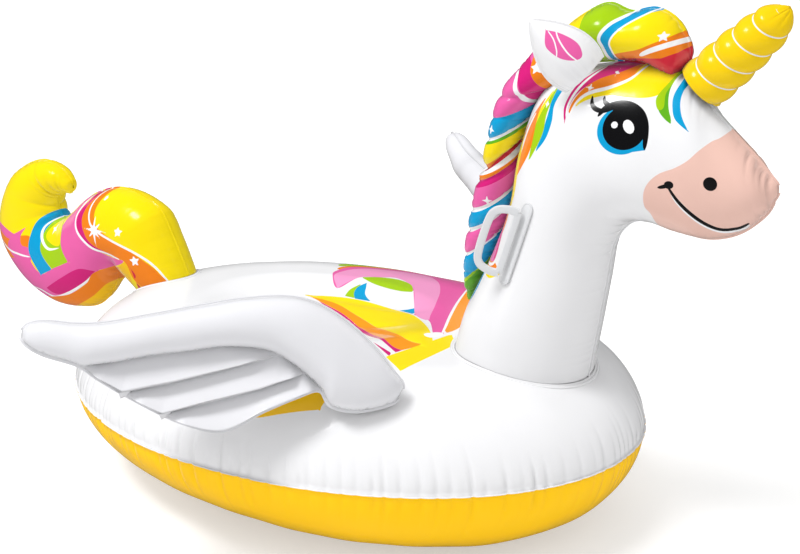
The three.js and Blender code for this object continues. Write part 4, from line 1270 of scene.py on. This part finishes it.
def build_ear(side, label, face, panel):
    """One panel: face +1 is the hollow front, -1 the back, in the plane x across, z up."""
    v = np.linspace(0, 1, EAR_ROWS)[:, None]
    u = np.linspace(0, 1, EAR_COLUMNS)[None, :]
    bow = np.sin(np.pi * (EAR_FOOT_PHASE + (1 - EAR_FOOT_PHASE) * v)) ** 0.8
    half = np.maximum(EAR_WIDTH / 2 * bow * (1 - 0.2 * v), 0.8 * MM)
    x = half * -np.cos(np.pi * u)
    cup = EAR_CUP * (half * half - x * x) / np.maximum(half, MM)
    edge = np.sqrt(np.clip(1 - (x / half) ** 2, 0, 1))
    swell = EAR_HALF * edge * np.sin(np.pi * np.clip(v, 0.06, 1)) ** 0.6
    depth = -cup - face * (HALF_GAP + swell * (0.35 if face > 0 else 1.1))
    height = v * EAR_LENGTH * np.ones_like(u)
    grid = np.stack([x, depth, height], -1)
    outward = np.array([0, -face, 0])
    normal = facing(grid, outward)
    across = lengths(grid, axis=1)
    from_edge = np.minimum(across, across[:, -1:] - across)
    shift = -creases(height[:, 0], from_edge, *EAR_EDGE, seed=95)
    foot = creases(u[0] * EAR_WIDTH, height.T, *EAR_GATHER, seed=96)
    grid = grid + normal * (shift - foot.T)[..., None]
    reach = EAR_LIP * np.array([1.0, 0.5, 0.1])[None, :, None] * [1, 0, 0]
    grid = np.concatenate([grid[:, :1] - reach, grid, grid[:, -1:] + reach[:, ::-1]], 1)
    flat, faces = shell(grid, outward, wall=EAR_FILM)
    points, faces = placed(flat, faces, *ear_frame(side))
    made = piece(f"ear_{label}_{panel}_film", points, faces, "root",
                 ear_vinyl if face > 0 else white_vinyl, f"ear_{label}_{panel}_panel")
    if face > 0:
        print_on(made, EAR_PRINT, (0, 2), flat)


# ---- Wings ----------------------------------------------------------------------------------


def wing_matrix(mirror, lift):
    """The wing's frame: x out to the tip, y up, z out of the face that looks back."""
    heading, rise = math.radians(WING_HEADING), math.radians(WING_RISE)
    ahead = np.array([math.cos(heading), math.sin(heading), 0.0])
    out = ahead * math.cos(rise) + [0, 0, math.sin(rise)]
    level = np.array([math.sin(heading), -math.cos(heading), 0.0])
    up = rotation(out.tolist(), -WING_ROLL) @ level
    frame_turn = rotation(level.tolist(), lift) @ np.stack([out, up, np.cross(out, up)], 1)
    flip = np.diag([1.0, -1.0 if mirror else 1.0, 1.0])
    return flip @ frame_turn, flip @ np.array(WING_ROOT)


LOBE_COLUMNS, SLAT_COLUMNS, WING_ROWS = 64, 26, 220
SLAT_RISE, SLAT_LEAST = 27 * MM, 0.9 * MM
SLAT_FULL_WIDTH = 30 * MM  # a slat at least this wide rises to its full height
SLAT_EDGE = 0.08  # share of a slat in which it drops to the next one
BACK_SLAT_SHARE = 0.6  # the back sheet's slats are this much lower and round


def slat_share(slat, lead, trail):
    """How far across each row of the wing a slat's lower edge lies, 0 to 1."""
    share = np.linspace(0, 1, 160)
    path = np.array(slat[::-1], float) * MM
    slope = (path[-1, 1] - path[-2, 1]) / (path[-1, 0] - path[-2, 0])
    result = []
    for start, end in zip(lead, trail):
        row = start + (end - start) * share[:, None]
        level = np.interp(row[:, 0], path[:, 0], path[:, 1])
        level += np.maximum(0, row[:, 0] - path[-1, 0]) * slope
        result.append(np.interp(0, row[:, 1] - level, share))
    return np.array(result)


def wing_grid(face):
    """Grid of one wing sheet in the wing's plane: the fat leading lobe, then the slats.
    face -1 is the front, whose slats overlap like feathers."""
    table = np.array(WING, float)
    table[:, :4] *= MM
    table[:, 5] *= MM
    places = even_places(lambda t: spline((table[:, :2] + table[:, 2:4]) / 2, t), WING_ROWS)
    lead, trail = spline(table[:, :2], places), spline(table[:, 2:4], places)
    lobe = spline(table[:, 4:], places)
    width = np.linalg.norm(trail - lead, axis=1)
    least = np.minimum(SLAT_LEAST / width, 0.02)
    share = np.minimum(lobe[:, 0], 1 - 3 * least)
    turn = np.linspace(0, np.pi, LOBE_COLUMNS)
    across = [share[:, None] * (1 - np.cos(turn)) / 2]
    height = [np.maximum(lobe[:, 1:], 0.3 * MM) * np.sin(turn) ** 0.85]
    edges = [share]
    for number, slat in enumerate(SLATS):
        last = 1 - (2 - number) * least
        edges.append(np.clip(slat_share(slat, lead, trail), edges[-1] + least, last))
    edges.append(np.ones(WING_ROWS))
    local = np.linspace(0, 1, SLAT_COLUMNS + 1)[1:]
    for start, end in zip(edges[:-1], edges[1:]):
        size = smooth((end - start) * width / SLAT_FULL_WIDTH)[:, None]
        if face < 0:
            slat = SLAT_RISE * local**0.8 * (1 - smooth((local - 1 + SLAT_EDGE) / SLAT_EDGE))
        else:
            slat = BACK_SLAT_SHARE * SLAT_RISE * np.sin(np.pi * local)
        across.append(start[:, None] + (end - start)[:, None] * local)
        height.append(size * slat[None, :])
    across, height = np.concatenate(across, 1), np.concatenate(height, 1)
    flat = lead[:, None, :] + (trail - lead)[:, None, :] * across[..., None]
    grid = np.stack([flat[..., 0], -flat[..., 1], face * (HALF_GAP + height)], -1)
    return grid, places


# Pitch, reach and depth of the creases along the wing's lead, groove and trail.
WING_LEAD = (12 * MM, 28 * MM, 4 * MM)
WING_GROOVE = (11 * MM, 16 * MM, 4.5 * MM)
WING_TRAIL = (10 * MM, 18 * MM, 2 * MM)
WING_WAVE, WING_WAVE_LENGTH = 1.2 * MM, 0.09
WING_LIP, WING_LIP_NEAR = 3.5 * MM, 0.12
WING_VALVE_SPREAD = 32 * MM
# Distances from the root that go with each wing piece; the wing is not bent between them and stays on
# no body.
BEND_START, BEND_END = -0.015, 0.070


def wing_shift(grid, places):
    """How far each point of a wing sheet moves out: creases and slow waves."""
    across = lengths(grid, axis=1)
    along = lengths((grid[:, 0] + grid[:, -1]) / 2)
    tip = smooth((places - 0.88) / 0.08)
    root = 1 - smooth(places / 0.2)
    above_groove = np.maximum(across[:, LOBE_COLUMNS - 1 : LOBE_COLUMNS] - across, 0)
    from_trail = across[:, -1:] - across
    shift = -creases(along, across, *WING_LEAD, 0.06 + 1.0 * tip + 0.5 * root, 101)
    shift -= creases(along, above_groove, *WING_GROOVE, 0.8 + 0.2 * tip, 102)
    shift -= creases(along, from_trail, *WING_TRAIL, 0.5 + 1.2 * tip + root, 103)
    shift += WING_WAVE * ripple(grid[..., 0], grid[..., 1], WING_WAVE_LENGTH, 104)
    return shift * smooth(np.abs(grid[..., 2]) / (4 * MM))


def build_wing_sheet(label, mirror, lift, face, sheet):
    grid, places = wing_grid(face)
    outward = np.array([0, 0, face])
    normal = facing(grid, outward)
    grid = grid + normal * wing_shift(grid, places)[..., None]
    grid = weld_lips(grid, WING_LIP, 2, WING_LIP_NEAR, level=face * HALF_GAP)
    turn, root = wing_matrix(mirror, lift)
    hole = None
    if face > 0:
        valve = f"wing_{label}_valve"
        grid, hole = seat_valve(grid, valve, WING_VALVE_SPREAD, PINCH_HOLE, turn, root)
    points, faces = shell(grid, outward, settle=beyond_weld(2, face), hole=hole)
    if face < 0:
        for slat in SLATS:
            points, faces = joined(points, faces, *fold(slat))
    points, faces = placed(points, faces, turn, root)
    start = (root + turn @ np.array([BEND_START, 0, 0])).tolist()
    end = (root + turn @ np.array([BEND_END, 0, 0])).tolist()
    piece(f"wing_{label}_{sheet}_film", points, faces, ("root", f"wing_{label}", start, end),
          wing_vinyl, f"wing_{label}_{sheet}_sheet")


FOLD_LENGTH, FOLD_HEIGHT, FOLD_HALF, FOLD_FILM = 20 * MM, 13 * MM, 9 * MM, 0.7 * MM
FOLD_OVERLAP = 0.85  # share of the cuff that lies on the slat


def fold(slat):
    """The small three-sided cuff of folded film at a slat's outer end."""
    end, inner = (np.array(p, float) * MM for p in slat[:2])
    run = (end - inner) / np.linalg.norm(end - inner)
    side = np.array([run[1], -run[0]])
    corners = np.array([(-FOLD_HALF, 0.0), (0.2 * FOLD_HALF, FOLD_HEIGHT), (FOLD_HALF, 0.0)])
    ring = np.concatenate([
        np.linspace(corners[k], corners[(k + 1) % 3], 8, endpoint=False) for k in range(3)
    ])
    rows = []
    for step in np.linspace(0, 1, 7):
        flare = 0.55 + 0.5 * step
        flat = end + run * (step - FOLD_OVERLAP) * FOLD_LENGTH + side * ring[:, :1] * flare
        rows.append(np.stack([flat[:, 0], -flat[:, 1], -HALF_GAP - ring[:, 1] * flare], -1))
    cuff = np.stack(rows)
    return shell(cuff, cuff - cuff.mean(1, keepdims=True), wrap=True, wall=FOLD_FILM)


# The wings' film in the greyer white: painted shade.
wing_vinyl = plain_vinyl("wing_vinyl", SHADED_WING_WHITE)

# ---- Handles --------------------------------------------------------------------------------

handle_vinyl = plain_vinyl("handle_vinyl", MILKY_WHITE, roughness=0.32, coat=0.25, sheer=0.12)


def plate_frame(label, side):
    """Centre and axes of a handle's base plate: across, up the neck, and off the neck."""
    points = node_points(f"handle_{label}_plate")
    centre = points.mean(0)
    _, _, axes = np.linalg.svd(points - centre)
    up = axes[0] * np.sign(axes[0][2])
    off = axes[2] * np.sign(axes[2] @ (node_points(f"handle_{label}_loop").mean(0) - centre))
    return centre, np.stack([side * np.cross(up, off), up, off], 1)


def sweep(path, section):
    """Grid of a section (points across, up) carried along a flat path in the xy plane."""
    run = np.gradient(path, axis=0)
    run /= np.linalg.norm(run, axis=1, keepdims=True)
    side = np.stack([run[:, 1], -run[:, 0], 0 * run[:, 0]], -1)
    across = side[:, None, :] * section[None, :, :1]
    return path[:, None, :] + across + [0, 0, 1] * section[None, :, 1:]


def rounded_bar(width, height, corner, count=6):
    """Section outline of a bar with rounded corners of count points each."""
    points = []
    for quarter in range(4):
        cx = (width / 2 - corner) * (1 if quarter in (0, 3) else -1)
        cy = (height / 2 - corner) * (1 if quarter in (0, 1) else -1)
        for k in range(count):
            angle = math.pi / 2 * (quarter + k / (count - 1))
            points.append((cx + corner * math.cos(angle), cy + corner * math.sin(angle)))
    return np.array(points)


def solid(grid):
    """Points and faces of a swept bar, closed at both ends."""
    rows, cols = grid.shape[:2]
    index = np.arange(rows * cols).reshape(rows, cols)
    faces = quads_of(np.hstack([index, index[:, :1]])).tolist()
    faces += [index[0].tolist(), index[-1][::-1].tolist()]
    outward = grid - grid.mean(1, keepdims=True)
    if (grid_normals(grid, wrap=True) * outward).sum() < 0:
        faces = [f[::-1] for f in faces]
    return grid.reshape(-1, 3), faces


HANDLE_LENGTH, HANDLE_REACH, HANDLE_BAND, HANDLE_THICK = 0.136, 0.062, 0.015, 0.007
HANDLE_FOOT, HANDLE_LIFT, HANDLE_SPLAY = 7 * MM, 8 * MM, 45.0
BAR_CORNER, FOOT_CORNER, FOOT_SHARE = 2.6 * MM, 2.4 * MM, 0.9
PLATE_WIDTH, PLATE_ARC_STEPS = 0.026, 24
# Rings of the base plate from its foot to its middle: share of the outline, height in mm.
PLATE_RINGS = (
    (1.0, -4.5), (1.0, 0.4), (0.96, 1.0), (0.88, 0.9), (0.82, 0.2), (0.76, 0.2),
    (0.70, 0.9), (0.62, 1.1), (0.3, 1.2), (0.06, 1.2),
)


def build_loop(label, centre, axes):
    """The D-shaped grip: a rounded band and the bar at its foot, splayed off the plate."""
    half, far = (HANDLE_LENGTH - HANDLE_BAND) / 2, HANDLE_REACH - HANDLE_BAND / 2
    quarter = [(HANDLE_FOOT, half), (0.5 * far, half), (0.86 * far, 0.86 * half), (far, 0.5 * half)]
    corners = [(x, -y, 0.0) for x, y in quarter] + [(x, y, 0.0) for x, y in quarter[::-1]]
    band = spline(corners, np.linspace(0, 1, 90))
    foot = [(HANDLE_FOOT, y, 0.0) for y in (half, half / 3, -half / 3, -half)]
    foot = spline(foot, np.linspace(0, 1, 40))
    points, faces = solid(sweep(band, rounded_bar(HANDLE_BAND, HANDLE_THICK, BAR_CORNER)))
    bar = rounded_bar(HANDLE_BAND * FOOT_SHARE, HANDLE_THICK * FOOT_SHARE, FOOT_CORNER)
    points, faces = joined(points, faces, *solid(sweep(foot, bar)))
    points = points @ rotation("Y", -HANDLE_SPLAY).T + [0, 0, HANDLE_LIFT]
    points, faces = placed(points, faces, axes, centre)
    piece(f"handle_{label}_loop_moulded", points, faces, f"handle_{label}",
          handle_vinyl, f"handle_{label}_loop")


def build_plate(label, centre, axes):
    """The long oval base plate with a groove inside its rim."""
    straight, radius = HANDLE_LENGTH / 2, PLATE_WIDTH / 2
    turn = np.linspace(0, np.pi, PLATE_ARC_STEPS + 1)
    end = np.stack([radius * np.cos(turn), straight + radius * np.sin(turn)], -1)
    outline = np.concatenate([end, -end])
    rings = []
    for share, height in PLATE_RINGS:
        scaled = outline * [share, 1 - (1 - share) * radius / (straight + radius)]
        rings.append(np.column_stack([scaled, np.full(len(outline), height * MM)]))
    points, faces = placed(*solid(np.stack(rings)), axes, centre)
    piece(f"handle_{label}_plate_moulded", points, faces, "root",
          handle_vinyl, f"handle_{label}_plate")


def build_handle(label, side):
    centre, axes = plate_frame(label, side)
    build_loop(label, centre, axes)
    build_plate(label, centre, axes)


# ---- Valves ---------------------------------------------------------------------------------

valve_vinyl = plain_vinyl("valve_vinyl", MILKY_CLEAR, roughness=0.3, coat=0.3, sheer=0.25)
LATHE_STEPS = 48
SHARP_EDGE = 50.0  # degrees from which an edge of a valve part stays sharp


def lathe(name, profile, valve, body, node, closed):
    """A turned part on a valve's axis. profile is radius, height in mm."""
    base, axis = valve_axis(valve)
    across = np.cross(axis, [0.3, 0.2, 1.0])
    across /= np.linalg.norm(across)
    third = np.cross(axis, across)
    profile = np.array(profile, float) * MM
    if closed:
        profile = np.concatenate([profile, profile[:1]])
    angle = np.linspace(0, 2 * np.pi, LATHE_STEPS, endpoint=False)
    ring = np.cos(angle)[:, None] * across + np.sin(angle)[:, None] * third
    grid = base + profile[:, None, :1] * ring[None] + profile[:, None, 1:] * axis
    if closed:
        grid = grid[:-1]
        rows, cols = grid.shape[:2]
        index = np.arange(rows * cols).reshape(rows, cols)
        points = grid.reshape(-1, 3)
        faces = quads_of(np.pad(index, ((0, 1), (0, 1)), "wrap")).tolist()
    else:
        points, faces = solid(grid)
    made = piece(name, points, faces, body, valve_vinyl, node)
    made.data.set_sharp_from_angle(angle=math.radians(SHARP_EDGE))


def build_pinch_valve(valve, wall_body):
    lathe(f"{valve}_flange_ring", (
        (7.1, 0), (14.4, 0), (15.0, 0.3), (14.6, 0.7), (11, 1.0), (8.8, 1.5), (7.8, 2.4), (7.1, 2.4),
    ), valve, wall_body, f"{valve}_flange", closed=True)
    lathe(f"{valve}_stem_tube", (
        (4, -9), (5.4, -9), (6.0, -8), (6.2, -7), (6.2, 9.4), (6.8, 9.9), (6.8, 11.6), (6.4, 12.6),
        (5.8, 13), (4.3, 13), (4, 12.7),
    ), valve, f"{valve}_stem", f"{valve}_stem", closed=True)
    lathe(f"{valve}_plug_cap", (
        (0.2, 9.8), (2.4, 9.8), (3.1, 10.6), (3.6, 12.4), (3.6, 13.3), (5.8, 13.3), (6.3, 13.8),
        (6.3, 14.8), (5.6, 15.5), (3.2, 15.5), (2.8, 15.1), (0.2, 15.1),
    ), valve, f"{valve}_plug", f"{valve}_plug", closed=False)


def build_main_valve():
    lathe("main_valve_seat_ring", (
        (17, -10.5), (20, -10.5), (20, 0), (33.2, 0), (34, 0.4), (33.4, 1.0), (27, 1.5), (25, 2.6),
        (22.6, 3.2), (22, 4.2), (22, 6.6), (21.6, 7), (17.4, 7), (17, 6.6),
    ), "main_valve", "root", "main_valve_seat", closed=True)
    lathe("main_valve_cap_disc", (
        (0.3, 5), (15.8, 5), (16.4, 5.6), (16.4, 7.4), (22.6, 7.4), (23, 7.8), (23, 11.6), (22.2, 12.7),
        (20.8, 13), (14, 13), (13, 12.4), (11.6, 12.4), (10.6, 13), (0.3, 13),
    ), "main_valve", "main_valve_cap", "main_valve_cap", closed=False)


# ---- Every piece -------------------------------------------------------------------------

build_body()
for label, side in (("left", 1), ("right", -1)):
    build_head(side, label)
    build_mane(side, label)
    build_forelock(side, label)
    build_tail(side, label)
    build_handle(label, side)
    build_ear(side, label, 1, "front")
    build_ear(side, label, -1, "back")
for label, mirror, lift in (("left", True, WING_LEFT_RAISE), ("right", False, 0.0)):
    build_wing_sheet(label, mirror, lift, -1, "front")
    build_wing_sheet(label, mirror, lift, 1, "back")
build_collar("neck_weld_bead", "neck_weld_collar", HEAD, 0.5 * MM, 10 * MM)
build_collar("tail_weld_bead", "tail_weld_collar", TAIL, 3 * MM, 10 * MM)
build_horn()
for valve, wall_body in (("head", "root"), ("tail", "root"), ("wing_left", "wing_left"),
                         ("wing_right", "wing_right")):
    build_pinch_valve(f"{valve}_valve", wall_body)
build_main_valve()

for name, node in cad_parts.items():
    if not node.hide_render:
        node.data.materials.clear()
        node.data.materials.append(valve_vinyl if "valve" in name else white_vinyl)


# ---- Light, floor and camera ---------------------------------------------------------------

# Strength of the white sky: as light, as seen in the gloss, and behind the float.
SKY_LIGHT, SKY_GLOSS, SKY_SEEN = 0.70, 0.08, 1.0
# Each sun: direction from the float, strength, angle across in degrees.
SUNS = {
    "key": ((-0.25, -0.45, 1.1), 1.15, 22),
    "back": ((-0.6, 0.8, 0.9), 0.3, 40),
}
GLOSS_LAMP, GLOSS_TARGET = (-1.0, -2.2, 4.0), (0.2, 0, 0.5)
GLOSS_SIZE, GLOSS_POWER = 1.1, 45
FLOOR_HALF = 40
FLOOR_GREY, FLOOR_MIRRORED = (0.80, 0.80, 0.80), (0.16, 0.16, 0.16)
FLOOR_LIFT = 0.30


def turned_to(direction):
    """The rotation that points a lamp's or camera's back along a direction."""
    return Vector(direction).to_track_quat("Z", "Y").to_euler()


def sun(name, toward, strength, angle):
    """A soft distant lamp; toward points from the float to the lamp."""
    data = bpy.data.lights.new(name, "SUN")
    data.energy, data.angle = strength, math.radians(angle)
    lamp = bpy.data.objects.new(name, data)
    lamp.rotation_euler = turned_to(toward)
    lamp.visible_glossy = False
    bpy.context.scene.collection.objects.link(lamp)


def area_light(name, place, target, size, power):
    data = bpy.data.lights.new(name, "AREA")
    data.shape, data.size, data.energy = "DISK", size, power
    lamp = bpy.data.objects.new(name, data)
    lamp.location = place
    lamp.rotation_euler = turned_to(Vector(place) - Vector(target))
    bpy.context.scene.collection.objects.link(lamp)


def build_sky():
    """A white sky that is dim in the gloss, so prints stay dark, and white behind the float."""
    world = bpy.data.worlds.new("studio")
    bpy.context.scene.world = world
    world.use_nodes = True
    tree = world.node_tree
    backdrop = tree.nodes["Background"]
    backdrop.inputs["Color"].default_value = (1, 1, 1, 1)
    path = tree.nodes.new("ShaderNodeLightPath")
    unseen = tree.nodes.new("ShaderNodeMapRange")
    tree.links.new(path.outputs["Is Glossy Ray"], unseen.inputs["Value"])
    unseen.inputs["To Min"].default_value = SKY_LIGHT
    unseen.inputs["To Max"].default_value = SKY_GLOSS
    level = tree.nodes.new("ShaderNodeMapRange")
    tree.links.new(path.outputs["Is Camera Ray"], level.inputs["Value"])
    tree.links.new(unseen.outputs["Result"], level.inputs["To Min"])
    level.inputs["To Max"].default_value = SKY_SEEN
    tree.links.new(level.outputs["Result"], backdrop.inputs["Strength"])


def build_floor():
    half = FLOOR_HALF
    corners = [(-half, -half, 0), (half, -half, 0), (half, half, 0), (-half, half, 0)]
    mesh = bpy.data.meshes.new("floor")
    mesh.from_pydata(corners, [], [(0, 1, 2, 3)])
    floor = bpy.data.objects.new("floor", mesh)
    bpy.context.scene.collection.objects.link(floor)
    nodes = Nodes("floor")
    nodes.shader.inputs["Roughness"].default_value = 1.0
    nodes.shader.inputs["Specular IOR Level"].default_value = 0.0
    mirrored = nodes.add("ShaderNodeLightPath").outputs["Is Glossy Ray"]
    shown = nodes.mix(mirrored, FLOOR_GREY, FLOOR_MIRRORED)
    nodes.put(shown, nodes.shader.inputs["Base Color"])
    # lifted for the camera only, so it adds no light to the float
    seen = nodes.add("ShaderNodeLightPath").outputs["Is Camera Ray"]
    nodes.shader.inputs["Emission Color"].default_value = (1, 1, 1, 1)
    nodes.link(nodes.math("MULTIPLY", seen, FLOOR_LIFT), nodes.shader.inputs["Emission Strength"])
    mesh.materials.append(nodes.material)


CAMERA_AZIMUTH, CAMERA_ELEVATION = math.radians(32.85), math.radians(17.2)
CAMERA_DISTANCE = 2.5
CAMERA_AIM = (0.109, 0.089, 0.425)
LENS_MM, SENSOR_MM = 51.4, 36.0


def build_camera():
    back = Vector((
        math.sin(CAMERA_AZIMUTH) * math.cos(CAMERA_ELEVATION),
        -math.cos(CAMERA_AZIMUTH) * math.cos(CAMERA_ELEVATION),
        math.sin(CAMERA_ELEVATION),
    ))
    data = bpy.data.cameras.new("camera")
    data.lens, data.sensor_width = LENS_MM, SENSOR_MM
    camera = bpy.data.objects.new("camera", data)
    camera.location = Vector(CAMERA_AIM) + back * CAMERA_DISTANCE
    camera.rotation_euler = turned_to(back)
    bpy.context.scene.collection.objects.link(camera)
    bpy.context.scene.camera = camera


bpy.context.scene.view_settings.view_transform = "Standard"
build_sky()
for name, (toward, strength, angle) in SUNS.items():
    sun(name, toward, strength, angle)
area_light("gloss", GLOSS_LAMP, GLOSS_TARGET, GLOSS_SIZE, GLOSS_POWER)
build_floor()
build_camera()
